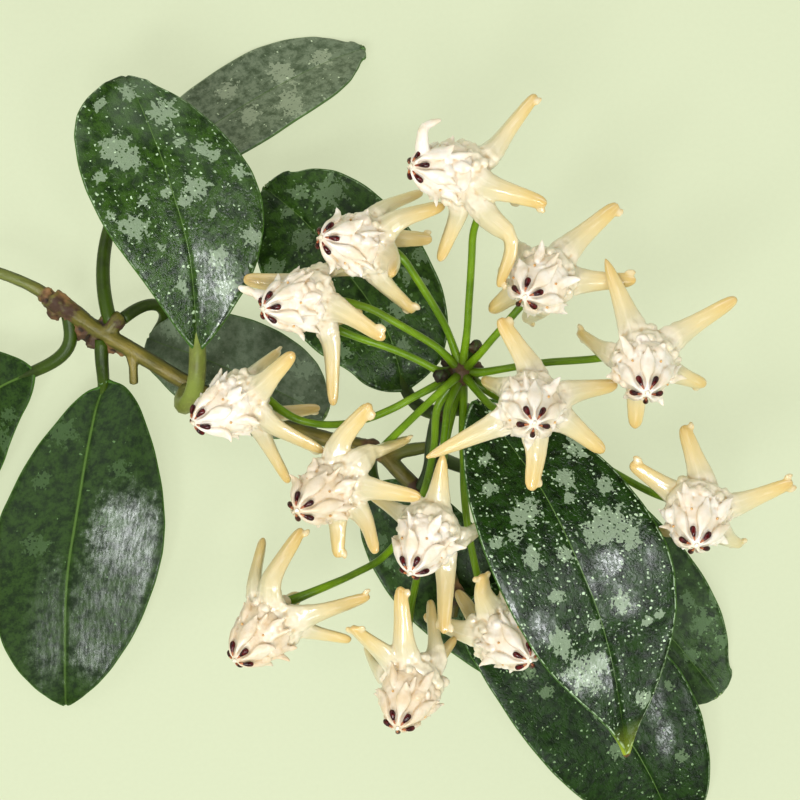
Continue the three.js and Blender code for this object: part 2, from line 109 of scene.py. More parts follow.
def lamp(name, azimuth, elevation, size, power, tint=COOL, tall=None):
    """An area lamp that faces the plant from a compass direction (0 is +X, 90 is +Y)."""
    data = bpy.data.lights.new(name, "AREA")
    data.shape = "RECTANGLE"
    data.size = size
    data.size_y = tall or size
    data.energy = power
    data.color = tint
    thing = bpy.data.objects.new(name, data)
    turn, rise = math.radians(azimuth), math.radians(elevation)
    away = Vector((math.cos(turn) * math.cos(rise), math.sin(turn) * math.cos(rise), math.sin(rise)))
    thing.location = CAMERA_OVER + away * LAMP_DISTANCE
    thing.rotation_euler = away.to_track_quat("Z", "Y").to_euler()
    bpy.context.collection.objects.link(thing)


lamp("key lamp", azimuth=125, elevation=46, size=0.8, power=3.5, tint=WHITE)
lamp("left lamp", azimuth=190, elevation=30, size=0.7, power=1.7, tint=WHITE)
lamp("right lamp", azimuth=20, elevation=35, size=0.8, power=1.7, tint=WARM)
lamp("left gloss lamp", azimuth=235, elevation=64, size=0.15, power=5.0, tall=0.3)
lamp("right gloss lamp", azimuth=260, elevation=75, size=0.14, power=4.2, tall=0.28)
lamp("rim gloss lamp", azimuth=326, elevation=70, size=0.12, power=1.6)
lamp("low gloss lamp", azimuth=300, elevation=43, size=0.45, power=3.5, tall=0.12)
print(len(bpy.data.lights), "lamps")

# %% [markdown]
# ## Writing materials as sums
#
# A procedural material is mostly arithmetic. Adding Math nodes one by one hides it, so one small
# class wraps an output socket and gives it Python's signs: `1 - mask` adds the Subtract node. Every
# other node comes from one method that takes its type, its settings and its inputs. The world has
# a node tree too, so the surroundings are the first thing built with it.

# %% The socket wrapper
def sign(operation, swapped=False):
    """A method that adds the Math node for one of Python's signs."""
    def method(self, *others):
        values = (*others, self) if swapped else (self, *others)
        return self.nodes.node("ShaderNodeMath", {"operation": operation}, dict(enumerate(values)))[0]
    return method


class Wire:
    """An output socket on which Python's arithmetic signs add Math nodes."""

    def __init__(self, nodes, socket):
        self.nodes = nodes
        self.socket = socket

    __add__ = __radd__ = sign("ADD")
    __sub__ = sign("SUBTRACT")
    __rsub__ = sign("SUBTRACT", swapped=True)
    __mul__ = __rmul__ = sign("MULTIPLY")
    __truediv__ = sign("DIVIDE")
    __gt__ = sign("GREATER_THAN")
    __lt__ = sign("LESS_THAN")
    __abs__ = sign("ABSOLUTE")
    most = sign("MAXIMUM")

    def between(self, low, high):
        """0 below low, 1 above high, and a soft slope from one to the other."""
        settings = {"interpolation_type": "SMOOTHSTEP"}
        inputs = {"Value": self, "From Min": low, "From Max": high}
        return self.nodes.node("ShaderNodeMapRange", settings, inputs)["Result"]


class Outputs:
    """The outputs of a node, by name or number."""

    def __init__(self, nodes, made):
        self.nodes = nodes
        self.made = made

    def __getitem__(self, key):
        return Wire(self.nodes, self.made.outputs[key])


# %% The tree builder
class Nodes:
    """A node tree under construction."""

    def __init__(self, owner):
        owner.use_nodes = True
        self.tree = owner.node_tree
        self.tree.nodes.clear()

    def node(self, kind, settings=None, inputs=None):
        """Adds a node: its settings first, then the values or links of its sockets."""
        made = self.tree.nodes.new(kind)
        for name, value in (settings or {}).items():
            setattr(made, name, value)
        for name, value in (inputs or {}).items():
            if isinstance(value, Wire):
                self.tree.links.new(value.socket, made.inputs[name])
            else:
                made.inputs[name].default_value = value
        return Outputs(self, made)

    def parts(self, vector):
        """The X, Y and Z of a vector."""
        return self.node("ShaderNodeSeparateXYZ", None, {0: vector})


# %% The material builder
class Finish(Nodes):
    """A material under construction."""

    def __init__(self, name):
        self.material = bpy.data.materials.new(name)
        super().__init__(self.material)

    def mix(self, factor, first, second):
        """A colour that goes from the first to the second as factor goes from 0 to 1."""
        colors = [(*c, 1) if isinstance(c, tuple) else c for c in (first, second)]
        inputs = {0: factor, 6: colors[0], 7: colors[1]}
        return self.node("ShaderNodeMix", {"data_type": "RGBA"}, inputs)[2]

    def ramp(self, factor, stops):
        """A colour that goes through several, each at its own share."""
        made = self.node("ShaderNodeValToRGB", None, {0: factor})
        elements = made.made.color_ramp.elements
        while len(elements) < len(stops):
            elements.new(0.5)
        for element, (place, tone) in zip(elements, stops):
            element.position = place
            element.color = (*tone, 1)
        return made["Color"]

    def place(self):
        return self.node("ShaderNodeTexCoord")["Object"]

    def map(self, name):
        return self.node("ShaderNodeUVMap", {"uv_map": name})["UV"]

    def stretched(self, vector, scale):
        return self.node("ShaderNodeMapping", None, {"Vector": vector, "Scale": scale})[0]

    def attribute(self, name, output="Fac"):
        return self.node("ShaderNodeAttribute", {"attribute_name": name})[output]

    def noise(self, vector, scale, detail=2.0, roughness=0.5, output="Fac"):
        inputs = {"Vector": vector, "Scale": scale, "Detail": detail, "Roughness": roughness}
        return self.node("ShaderNodeTexNoise", None, inputs)[output]

    def cells(self, vector, scale):
        """How far the nearest cell's middle is, and three numbers that are drawn for each cell."""
        inputs = {"Vector": vector, "Scale": scale}
        found = self.node("ShaderNodeTexVoronoi", {"voronoi_dimensions": "2D"}, inputs)
        return found["Distance"], self.node("ShaderNodeSeparateColor", None, {"Color": found["Color"]})

    def surface(self, linked, fixed, height=None, depth=0.0):
        """Ends the material: linked sockets vary, fixed ones don't, and height makes a bump."""
        shader = self.node("ShaderNodeBsdfPrincipled", None, {**fixed, **linked})
        if height is not None:
            inputs = {"Height": height, "Distance": depth, "Strength": 1.0}
            bump = self.node("ShaderNodeBump", None, inputs)["Normal"]
            self.tree.links.new(bump.socket, shader.made.inputs["Normal"])
        self.node("ShaderNodeOutputMaterial", None, {"Surface": shader[0]})
        return self.material


def color(red, green, blue):
    """A display colour, 0 to 255, as the linear colour that shaders count in."""
    parts = [value / 255 for value in (red, green, blue)]
    return tuple(v / 12.92 if v <= 0.04045 else ((v + 0.055) / 1.055) ** 2.4 for v in parts)


def scaled(tone, factor):
    """A darker or lighter tone of a linear colour."""
    return tuple(min(0.8, factor * value) for value in tone)


print("dark leaf green is", [round(v, 3) for v in color(20, 50, 18)])

# %% Surroundings: bright round the horizon, dark overhead, and pale where the camera sees them
HORIZON_LIGHT = 0.62
OVERHEAD_LIGHT = 0.06
FADE = {"From Min": 0.3, "From Max": 0.72, "To Min": HORIZON_LIGHT, "To Max": OVERHEAD_LIGHT}
LIGHT_TINT = (0.95, 1.0, 0.92, 1)
SHOWN_TINT = (0.74, 0.80, 0.55, 1)
world = bpy.data.worlds.new("studio")
bpy.context.scene.world = world
sky = Nodes(world)
rise = sky.parts(sky.node("ShaderNodeTexCoord")["Generated"])["Z"]
fade = sky.node("ShaderNodeMapRange", {"interpolation_type": "SMOOTHSTEP"}, {"Value": rise, **FADE})
dim = sky.node("ShaderNodeBackground", None, {"Color": LIGHT_TINT, "Strength": fade["Result"]})
pale = sky.node("ShaderNodeBackground", None, {"Color": SHOWN_TINT, "Strength": 1})
seen = sky.node("ShaderNodeLightPath")["Is Camera Ray"]
either = sky.node("ShaderNodeMixShader", None, {0: seen, 1: dim[0], 2: pale[0]})
sky.node("ShaderNodeOutputWorld", None, {"Surface": either[0]})
print("light from", OVERHEAD_LIGHT, "overhead to", HORIZON_LIGHT, "at the horizon")

# %% [markdown]
# ## The floor
#
# A plain square, far larger than the plant, that glows like a light table, so that the shadows on
# it are faint. It has the slight unevenness of matt paper.

# %% Floor
FLOOR_SIZE = 4.0
paper = Finish("pale paper")
grain = paper.noise(paper.place(), 900, detail=3)
glow = paper.mix(grain, color(197, 204, 170), color(200, 207, 173))
tone = paper.mix(grain, color(98, 102, 85), color(102, 106, 89))
paper_looks = {"Roughness": 0.9, "Emission Strength": 1.0}
paper.surface({"Base Color": tone, "Emission Color": glow}, paper_looks, grain, 0.01 * MM)
bpy.ops.mesh.primitive_plane_add(size=FLOOR_SIZE, location=(0, 0, 0))
floor = bpy.context.object
floor.name = "floor"
floor.data.materials.append(paper.material)
print("floor", FLOOR_SIZE, "m")

# %% [markdown]
# ## Reading places from the CAD nodes
#
# A CAD node is loose triangles. A copy is welded, and then its corners and their neighbours say how
# it was built: a leaf is rows of ten corners, a stalk is rings of six, and a petal is rings of five.
# Walking from one end, ring by ring, gives the line that each piece follows. The copy is thrown away.

# %% Selection and welding
WELD = 0.002 * MM


def only(piece):
    """Leaves edit mode, and selects this object alone."""
    if bpy.context.object and bpy.context.object.mode != "OBJECT":
        bpy.ops.object.mode_set(mode="OBJECT")
    bpy.ops.object.select_all(action="DESELECT")
    piece.select_set(True)
    bpy.context.view_layer.objects.active = piece


def new_piece(name, mesh):
    piece = bpy.data.objects.new(name, mesh)
    bpy.context.collection.objects.link(piece)
    only(piece)
    return piece


def remove(*pieces):
    for piece in pieces:
        mesh = piece.data
        bpy.data.objects.remove(piece)
        bpy.data.meshes.remove(mesh)


def weld(piece):
    only(piece)
    bpy.ops.object.mode_set(mode="EDIT")
    bpy.ops.mesh.select_all(action="SELECT")
    bpy.ops.mesh.remove_doubles(threshold=WELD)
    bpy.ops.object.mode_set(mode="OBJECT")


def corners_of(piece, kind="co"):
    """The place, or with "normal" the normal, of each corner."""
    flat = np.zeros(len(piece.data.vertices) * 3)
    piece.data.vertices.foreach_get(kind, flat)
    return flat.reshape(-1, 3)


def put_corners(piece, corners):
    piece.data.vertices.foreach_set("co", np.asarray(corners, float).ravel())
    piece.data.update()


def read_solid(node):
    """A node's welded corners, and the neighbours of each."""
    copy = new_piece("reading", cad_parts[node].data.copy())
    weld(copy)
    corners = corners_of(copy)
    links = [set() for _ in corners]
    for edge in copy.data.edges:
        first, second = edge.vertices
        links[first].add(second)
        links[second].add(first)
    remove(copy)
    return corners, links


def rings_from(first, links, passed=()):
    """The rings that follow a first one for as long as they have as many corners as it has."""
    rings = [sorted(first)]
    used = set(first) | set(passed)
    while True:
        ahead = set().union(*(links[i] for i in rings[-1])) - used
        if len(ahead) != len(first):
            return rings, used
        rings.append(sorted(ahead))
        used |= ahead


# %% [markdown]
# A smooth line through a few points is needed for stalks, pedicels and petals alike: the points are
# joined by a Catmull-Rom curve, and then spaced evenly along it.

# %% Smooth lines
STEPS_PER_SPAN = 16


def unit(vectors):
    """Each vector at length one."""
    return vectors / np.linalg.norm(vectors, axis=-1, keepdims=True)


def steps_along(line):
    """How far along the line each of its points is."""
    return np.r_[0, np.cumsum(np.linalg.norm(np.diff(line, axis=0), axis=1))]


def length_of(line):
    return float(steps_along(line)[-1])


def smooth_line(points, count):
    """count evenly spaced points on a smooth curve through the given ones."""
    given = np.asarray(points, float)
    padded = np.vstack([2 * given[0] - given[1], given, 2 * given[-1] - given[-2]])
    t = np.linspace(0, 1, STEPS_PER_SPAN, endpoint=False)[:, None]
    dense = []
    for before, start, end, after in zip(padded, padded[1:], padded[2:], padded[3:]):
        square = (2 * before - 5 * start + 4 * end - after) * t**2
        cube = (3 * start - before - 3 * end + after) * t**3
        dense.extend(0.5 * (2 * start + (end - before) * t + square + cube))
    dense = np.array([*dense, given[-1]])
    steps = steps_along(dense)
    wanted = np.linspace(0, steps[-1], count)
    return np.stack([np.interp(wanted, steps, dense[:, axis]) for axis in range(3)], axis=1)


def ease(line, passes):
    """Takes kinks out of a line by moving its inner points between their neighbours."""
    for _ in range(passes):
        line[1:-1] = (line[:-2] + 2 * line[1:-1] + line[2:]) / 4


def nearest_on(corners, lines):
    """The number of the line that is nearest to each corner, and the nearest point on it."""
    nearest = np.full(len(corners), np.inf)
    which, spots = np.zeros((2, len(corners)), int)
    for number, line in enumerate(lines):
        apart = np.linalg.norm(corners[:, None] - line[None], axis=2)
        closer = apart.min(1) < nearest
        nearest[closer] = apart.min(1)[closer]
        which[closer] = number
        spots[closer] = apart.argmin(1)[closer]
    return which, spots


print("a smooth line of 3 points is", smooth_line([(0, 0, 0), (1, 1, 0), (2, 0, 0)], 3).tolist())

# %% [markdown]
# ## Tubes along a line
#
# Stalks and petals are tubes of changing thickness along a curved line. In Blender that is a curve
# with a round bevel and a radius at each point.

# %% Tube
TUBE_SIDES = 16


def tube(name, line, radii):
    """A closed tube of the given radius at each point of the line."""
    curve = bpy.data.curves.new(name, "CURVE")
    curve.dimensions = "3D"
    curve.twist_mode = "MINIMUM"
    curve.bevel_depth = 1
    curve.bevel_resolution = TUBE_SIDES // 4 - 1
    curve.resolution_u = 1
    curve.use_fill_caps = True
    spline = curve.splines.new("POLY")
    spline.points.add(len(line) - 1)
    for point, place, radius in zip(spline.points, line, radii):
        point.co = (*place, 1)
        point.radius = radius
    new_piece(name, curve)
    bpy.ops.object.convert(target="MESH")
    piece = bpy.context.object
    piece.name = name
    weld(piece)
    return piece


# %% [markdown]
# ## Tools that every piece needs
#
# Materials read numbers that are written at each corner.

# %% Modifiers and finishing
def join(name, pieces):
    """One object from several, in the order given."""
    only(pieces[0])
    for piece in pieces:
        piece.select_set(True)
    bpy.ops.object.join()
    pieces[0].name = name
    return pieces[0]


def apply(piece, kind, **settings):
    """Adds a modifier and applies it."""
    only(piece)
    modifier = piece.modifiers.new(kind.lower(), kind)
    for name, value in settings.items():
        setattr(modifier, name, value)
    bpy.ops.object.modifier_apply(modifier=modifier.name)


def one_skin(name, parts, voxel, passes):
    """Joins the parts, and wraps them in one smoothed skin."""
    body = join(name, parts)
    apply(body, "REMESH", mode="VOXEL", voxel_size=voxel, adaptivity=0)
    apply(body, "SMOOTH", factor=0.5, iterations=passes)
    return body


def dress(piece, materials):
    for material in materials:
        piece.data.materials.append(material)


def finish_piece(piece, node, slot, *materials):
    dress(piece, materials)
    only(piece)
    bpy.ops.object.shade_smooth()
    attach(piece, "root")
    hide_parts(node)


# %% Numbers at the corners
HOLLOW_PASSES = 8


def write_attribute(piece, name, values):
    """A number or three at each corner, for a material to read."""
    values = np.asarray(values, float)
    kind, key = ("FLOAT", "value") if values.ndim == 1 else ("FLOAT_VECTOR", "vector")
    piece.data.attributes.new(name, kind, "POINT").data.foreach_set(key, values.ravel())


def lift(piece, heights):
    """Moves each corner along its normal."""
    put_corners(piece, corners_of(piece) + corners_of(piece, "normal") * np.asarray(heights)[:, None])


def along_tubes(corners, lines):
    """The direction from the nearest line (two numbers) and the distance along it in mm."""
    which, spots = nearest_on(corners, lines)
    found = np.zeros((len(corners), 3))
    for number, line in enumerate(lines):
        near = which == number
        spot = spots[near]
        ahead = unit(np.gradient(line, axis=0))
        side = unit(np.cross(ahead, (0, 0, 1)))
        over = np.cross(side, ahead)
        out = corners[near] - line[spot]
        out /= np.linalg.norm(out, axis=1)[:, None] + 1e-9
        far = steps_along(line)[spot] / MM
        found[near] = np.stack([(out * side[spot]).sum(1), (out * over[spot]).sum(1), far], axis=1)
    return found


def hollows(piece):
    """How deep each corner lies below the smoothed surface, in mm. It is negative on ridges."""
    edges = np.zeros(len(piece.data.edges) * 2, int)
    piece.data.edges.foreach_get("vertices", edges)
    first, second = edges.reshape(-1, 2).T
    corners = corners_of(piece)
    count = np.bincount(edges, minlength=len(corners))[:, None]
    smooth = corners.copy()
    for _ in range(HOLLOW_PASSES):
        total = np.zeros_like(smooth)
        for axis in range(3):
            total[:, axis] = np.bincount(first, smooth[second, axis], len(smooth))
            total[:, axis] += np.bincount(second, smooth[first, axis], len(smooth))
        smooth = total / count
    return ((smooth - corners) * corners_of(piece, "normal")).sum(1) / MM


# %% [markdown]
# ## Leaves: where they lie
#
# Each leaf node is rows of ten corners, five on top and five below, from its stalk to its tip. The
# halfway points of each pair are the middle of the blade, five across. On the stalk the rows are
# round, and only their centre and radius matter. The three largest leaves have their outlines and
# midribs listed as the camera sees them, from foot to tip, and take only their heights from the CAD.
# The others get a few more rows at their tips, because the CAD's blades end too abruptly.

# %% Leaf rows
LEAVES = [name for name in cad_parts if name.startswith("leaf")]
ROW = 10
ROW_REACH = 1.5 * MM
ROUND = 0.8
COLUMN_PLACES = np.array([-1, -0.6, 0, 0.6, 1])


def leaf_rows(corners, links):
    """A leaf's rows of corners, tip first, and the corners that are on none of them."""
    best = [], set()
    for corner in corners:
        apart = np.linalg.norm(corners - corner, axis=1)
        nearest = np.argsort(apart)[:ROW]
        if apart[nearest[-1]] < ROW_REACH:
            found = rings_from(nearest.tolist(), links)
            best = max(best, found, key=lambda rings: len(rings[0]))
    rings, used = best
    return [corners[ring] for ring in rings], corners[sorted(set(range(len(corners))) - used)]


def row_shape(points):
    """A row's centre, its long direction across, and how round it is (1 is round)."""
    centre = points.mean(0)
    _, sizes, directions = np.linalg.svd(points - centre)
    return centre, directions[0], sizes[1] / sizes[0]


def row_middles(points, across):
    """The five middle points of a row, from one margin to the other."""
    order = np.argsort(points @ across)
    return points[order].reshape(5, 2, 3).mean(1)


OUTLINES = {
    "leaf_front_left": [
        ((194, 350), (197, 350), (201, 350)), ((180, 333), (196, 325), (216, 333)),
        ((161, 306), (194, 295), (236, 303)), ((143, 281), (191, 265), (252, 275)),
        ((125, 257), (186, 238), (261, 243)), ((108, 233), (179, 212), (263, 212)),
        ((93, 205), (171, 187), (256, 182)), ((82, 178), (163, 162), (243, 158)),
        ((76, 150), (154, 138), (225, 136)), ((75, 127), (145, 116), (204, 116)),
        ((82, 106), (137, 98), (180, 98)), ((98, 89), (130, 84), (156, 86)),
        ((108, 82.5), (127.5, 80), (144, 80.5)), ((121, 77.6), (125, 77.5), (129, 77.5)),
    ],
    "leaf_front_right": [
        ((485, 403), (480, 403), (476, 402)), ((530, 418), (494, 422), (465, 425)),
        ((570, 436), (511, 446), (463, 455)), ((603, 459), (532, 475), (467, 492)),
        ((632, 490), (551, 506), (475, 524)), ((656, 524), (568, 540), (487, 560)),
        ((671, 557), (583, 574), (504, 598)), ((676, 592), (596, 606), (523, 634)),
        ((675, 622), (606, 638), (546, 668)), ((667, 655), (614, 672), (574, 697)),
        ((653, 695), (620, 708), (600, 720)), ((638, 727), (624, 735), (616, 739)),
        ((628, 755), (626.5, 757), (625, 756)),
    ],
    "leaf_bottom_left": [
        ((112, 382), (106, 384), (100, 386)), ((131, 394), (98, 402), (80, 397)),
        ((148, 430), (91, 432), (54, 426)), ((159, 470), (85, 463), (30, 458)),
        ((164, 508), (79, 500), (10, 496)), ((164, 538), (74, 530), (-3, 528)),
        ((159, 568), (69, 562), (-9, 562)), ((149, 600), (66, 594), (-8, 597)),
        ((136, 630), (65, 626), (-2, 630)), ((120, 656), (65, 654), (11, 660)),
        ((103, 678), (65, 677), (30, 683)), ((85, 694), (65.5, 694), (48, 697)),
        ((76, 700.5), (65.8, 701), (57, 702)), ((68, 704.5), (66, 705), (64, 705)),
    ],
}


def traced(blade, outline):
    """The blade moved sideways onto an outline, which is given from its foot to its tip."""
    given = np.linspace(0, 1, len(blade))
    heights = blade[:, :, 2].copy()
    heights[-1] = heights[-1].mean()
    rows = []
    for share, (left, middle, right) in zip(np.linspace(0, 1, len(outline)), outline):
        row = []
        for column, place in enumerate(COLUMN_PLACES):
            edge = np.array(left if place < 0 else right)
            across, down = np.array(middle) + (edge - middle) * abs(place)
            height = np.interp(share, given, heights[:, column])
            row.append(in_view(across, down, height / MM))
        rows.append(row)
    return np.array(rows)


print(len(LEAVES), "leaves, of which", len(OUTLINES), "have listed outlines")


# %% Leaf places
STALK_ROUTES = {
    "leaf_front_left": [
        (188, 391, 21), (181, 402, 24), (185, 408, 29), (193, 397, 33), (197, 380, 36), (198, 364, 37),
        (198, 350, 37),
    ],
}
STALK_OVERLAP = 0.6 * MM
STALKLESS_RADIUS = 1.5 * MM
TIP_SHARES = (0.5, 0.8, 0.95)
TIP_WIDTH = 0.03


def read_leaf(node):
    """The blade's middle points, five across and from base to tip, and its stalk's line and radius."""
    rows, rest = leaf_rows(*read_solid(node))
    blade, stalk, radius = [], [], STALKLESS_RADIUS
    across = None
    for points in rows:
        centre, direction, roundness = row_shape(points)
        if not stalk and (roundness < ROUND or not blade):
            if across is not None and direction @ across < 0:
                direction = -direction
            across = direction
            blade.append(row_middles(points, across))
        else:
            stalk.append(centre)
            radius = np.linalg.norm(points - centre, axis=1).max()
    blade = np.array(blade[::-1])
    along = blade[-1, 2] - blade[0, 2]
    middle = blade[len(blade) // 2]
    if np.cross(middle[-1] - middle[0], along)[2] < 0:
        blade = blade[:, ::-1]
    if not stalk:
        stalk = [blade[0, 2] - along * 0.02]
    inward = unit(rest.mean(0) - stalk[-1])
    reach = ((rest - stalk[-1]) @ inward).max() + STALK_OVERLAP
    return blade, np.array([stalk[-1] + inward * reach, *stalk[::-1]]), radius


def round_tip(blade):
    """The blade's rows with three more that make its end round."""
    tip, middle = blade[-1].mean(0), blade[-2, 2]
    wide = blade[-2] - middle
    rows = [middle + (tip - middle) * t + wide * math.sqrt(1 - t * t) for t in TIP_SHARES]
    return np.array([*blade[:-1], *rows, tip + wide * TIP_WIDTH])


leaf_places = {}
for name in LEAVES:
    blade, stalk, radius = read_leaf(name)
    blade = traced(blade, OUTLINES[name]) if name in OUTLINES else round_tip(blade)
    if name in STALK_ROUTES:
        stalk = np.array([in_view(*spot) for spot in STALK_ROUTES[name]])
    leaf_places[name] = blade, stalk, radius
    sizes = [round(value / MM, 1) for value in (length_of(blade[:, 2]), length_of(stalk), radius)]
    print(name, "has", len(blade), "rows, and its blade, stalk and stalk radius in mm are", sizes)


# %% [markdown]
# ## Leaves: the blade
#
# A hoya leaf is a thick, stiff sheet with a rounded margin and a fine groove along its midrib. The
# sheet starts as one flat grid, and a lattice with five points across takes it to the leaf's own
# place: its points are the blade's middle points, and the cardinal curves between them round off
# the CAD's facets. The lattice is tiny before it bends, so what it adds at its ends is tiny too.

# %% Blade sheet
SHEET_COLUMNS = 56
SHEET_ROWS = 110
SHEET_SIZE = 1 * MM
MIDRIB_CROWDING = 1.3
FOOT_RISE = 0.4
FOOT_WIDTH = 0.45


def grown_blade(blade, stalk, radius):
    """The blade's rows with one more at its foot, as narrow as the stalk."""
    side = unit(blade[0, -1] - blade[0, 0])
    up = unit(np.cross(side, blade[1, 2] - blade[0, 2]))
    foot = stalk[-1] + up * radius * FOOT_RISE + COLUMN_PLACES[:, None] * side * radius * FOOT_WIDTH
    return np.concatenate([foot[None], blade])


def cage_for(rows):
    """A lattice whose points lie on the given rows of points."""
    bpy.ops.object.add(type="LATTICE")
    cage = bpy.context.object
    data = cage.data
    data.points_u = rows.shape[1]
    data.points_v = rows.shape[0]
    data.points_w = 1
    data.interpolation_type_u = "KEY_CARDINAL"
    data.interpolation_type_v = "KEY_CARDINAL"
    cage.scale = (SHEET_SIZE,) * 3
    for point, place in zip(data.points, rows.reshape(-1, 3)):
        point.co_deform = place / SHEET_SIZE
    return cage


def flat_sheet(name):
    """A flat grid whose columns crowd towards the midrib, and each corner's shares across and along."""
    bpy.ops.mesh.primitive_grid_add(
        x_subdivisions=SHEET_COLUMNS, y_subdivisions=SHEET_ROWS, size=SHEET_SIZE, calc_uvs=False
    )
    sheet = bpy.context.object
    sheet.name = name
    corners = corners_of(sheet)
    across = 2 * corners[:, 0] / SHEET_SIZE
    across = np.sign(across) * np.abs(across) ** MIDRIB_CROWDING
    corners[:, 0] = across * SHEET_SIZE / 2
    put_corners(sheet, corners)
    return sheet, across, corners[:, 1] / SHEET_SIZE + 0.5


def distances(sheet, across, along):
    """How far each corner is from the midrib and from the foot, measured on the bent sheet."""
    order = np.lexsort((across, along))
    columns = len(np.unique(across.round(6)))
    grid = corners_of(sheet)[order].reshape(-1, columns, 3)
    steps = np.linalg.norm(np.diff(grid, axis=1), axis=2)
    from_edge = np.pad(np.cumsum(steps, axis=1), ((0, 0), (1, 0)))
    middle = columns // 2
    aside = from_edge - from_edge[:, middle : middle + 1]
    up = np.repeat(steps_along(grid[:, middle])[:, None], columns, axis=1)
    found = np.zeros((len(order), 2))
    found[order] = np.stack([aside.ravel(), up.ravel()], axis=1)
    return found


def write_uv(piece, name, points):
    """A UV map from one pair of numbers for each corner."""
    layer = piece.data.uv_layers.new(name=name)
    loops = np.zeros(len(piece.data.loops), int)
    piece.data.loops.foreach_get("vertex_index", loops)
    layer.data.foreach_set("uv", np.asarray(points, float)[loops].ravel())


print("a blade has", SHEET_COLUMNS, "columns and", SHEET_ROWS, "rows of faces")


# %% [markdown]
# ## Leaves: the silver splashes
#
# The splashes are patches where the leaf's skin has come away from the green below, so they are
# ragged stars, no two alike. On the leaves in front their places are given as they are seen from
# the camera, in pixels of an 800 pixel picture: across, down and radius. Each star's reach changes
# with its direction. The other leaves get theirs by chance. The blade carries the result as a
# number at each corner, and the material breaks its outline up into small scales. A second list
# says where the front leaves mirror a lamp: the middle, half the width and half the height of each
# patch, and its strength.

# %% Splash places
SPLASHES = {
    "leaf_front_right": [
        (526, 513, 15), (612, 525, 21), (598, 530, 15), (533, 559, 12), (566, 479, 10), (605, 484, 9),
        (577, 449, 11), (484, 460, 7), (489, 489, 8), (497, 543, 8), (564, 554, 9), (568, 499, 6),
        (556, 596, 8), (593, 625, 9), (622, 602, 11), (584, 672, 20), (597, 664, 13), (561, 643, 13),
        (659, 614, 5), (647, 620, 6), (643, 697, 8), (513, 536, 6), (632, 540, 9),
    ],
    "leaf_front_left": [
        (121, 153, 17), (130, 160, 12), (112, 148, 12), (163, 113, 14), (100, 104, 7), (99, 177, 7),
        (134, 228, 13), (196, 187, 12), (144, 201, 6), (202, 149, 9), (215, 155, 7), (166, 193, 6),
        (185, 202, 7), (214, 214, 5), (218, 258, 11), (252, 236, 11), (182, 285, 7), (160, 247, 5),
        (238, 171, 8), (128, 93, 9), (180, 142, 7), (110, 215, 6), (226, 286, 12),
    ],
    "leaf_behind_flowers": [
        (329, 193, 17), (303, 239, 12), (288, 212, 7), (407, 275, 9), (425, 282, 6), (398, 310, 10),
        (386, 322, 7), (341, 352, 10), (300, 192, 9), (420, 255, 8), (276, 268, 10), (404, 345, 8),
    ],
    "leaf_right_rear": [(702, 622, 12), (690, 655, 8), (715, 598, 8), (722, 640, 7), (688, 600, 8)],
    "leaf_bottom_left": [(62, 430, 15), (112, 520, 13), (36, 545, 12), (42, 480, 9), (120, 468, 10)],
    "leaf_top": [(228, 92, 10), (282, 74, 12), (292, 104, 14), (250, 118, 10), (322, 60, 10)],
    "leaf_bottom": [
        (528, 672, 8), (545, 692, 8), (668, 684, 6), (618, 748, 9), (682, 755, 7), (600, 715, 6),
    ],
}
CHANCE_STARS = 9
WET_PATCHES = {
    "leaf_front_right": [
        (592, 536, 19, 13, 1.25), (606, 562, 15, 13, 1.2), (622, 602, 18, 15, 1.15),
        (600, 585, 20, 20, 0.75), (540, 628, 18, 26, 0.75), (588, 670, 32, 24, 1.1),
        (514, 590, 8, 34, 0.9), (650, 560, 10, 26, 0.6),
    ],
    "leaf_front_left": [
        (200, 252, 15, 15, 0.9), (222, 264, 17, 19, 1.0), (217, 298, 18, 34, 1.0),
        (205, 326, 11, 24, 0.9), (225, 200, 16, 30, 0.6),
    ],
    "leaf_bottom_left": [(130, 552, 38, 58, 1.0), (106, 622, 40, 58, 1.0), (50, 625, 24, 68, 0.85)],
    "leaf_bottom": [(655, 700, 10, 24, 1.0), (665, 737, 10, 22, 0.9), (690, 700, 15, 30, 0.6)],
}


def wet_field(name, sheet):
    """1 in the middle of a patch that mirrors a lamp, and half of it on its outline."""
    seen = picture_place(corners_of(sheet))
    field = np.zeros(len(seen))
    for across, down, wide, high, strength in WET_PATCHES.get(name, ()):
        away = np.linalg.norm((seen - (across, down)) / (wide, high), axis=1)
        field = np.maximum(field, strength * (1 - 0.5 * away))
    return np.clip(field, 0, 1)


def star_field(points, centre, radius, draw):
    """1 in the middle of a ragged star, 0.5 on its outline, and less outside it."""
    away = points - np.asarray(centre)
    turn = np.arctan2(away[:, 1], away[:, 0])
    arms = draw.choice([6, 7, 8])
    ragged = 0.92 + 0.2 * np.cos(arms * turn + draw.uniform(0, 6))
    ragged += 0.14 * np.cos((2 * arms - 3) * turn + draw.uniform(0, 6))
    ragged += 0.1 * np.cos(2 * turn + draw.uniform(0, 6))
    return 1 - 0.5 * np.linalg.norm(away, axis=1) / (radius * ragged)


def splash_field(name, sheet, places, seed):
    """The strongest star at each corner of a blade."""
    draw = random.Random(seed)
    field = np.zeros(len(places))
    if name in SPLASHES:
        seen = picture_place(corners_of(sheet))
        for across, down, radius in SPLASHES[name]:
            field = np.maximum(field, star_field(seen, (across, down), radius, draw))
    else:
        reach = places.max(0)
        for _ in range(CHANCE_STARS):
            centre = draw.uniform(-0.8, 0.8) * reach[0], draw.uniform(0.08, 0.92) * reach[1]
            size = draw.uniform(1.2, 3.2) * MM
            field = np.maximum(field, star_field(places, centre, size, draw))
    return np.clip(field, 0, 1)


print(sum(map(len, SPLASHES.values())), "splashes on", len(SPLASHES), "leaves are listed")


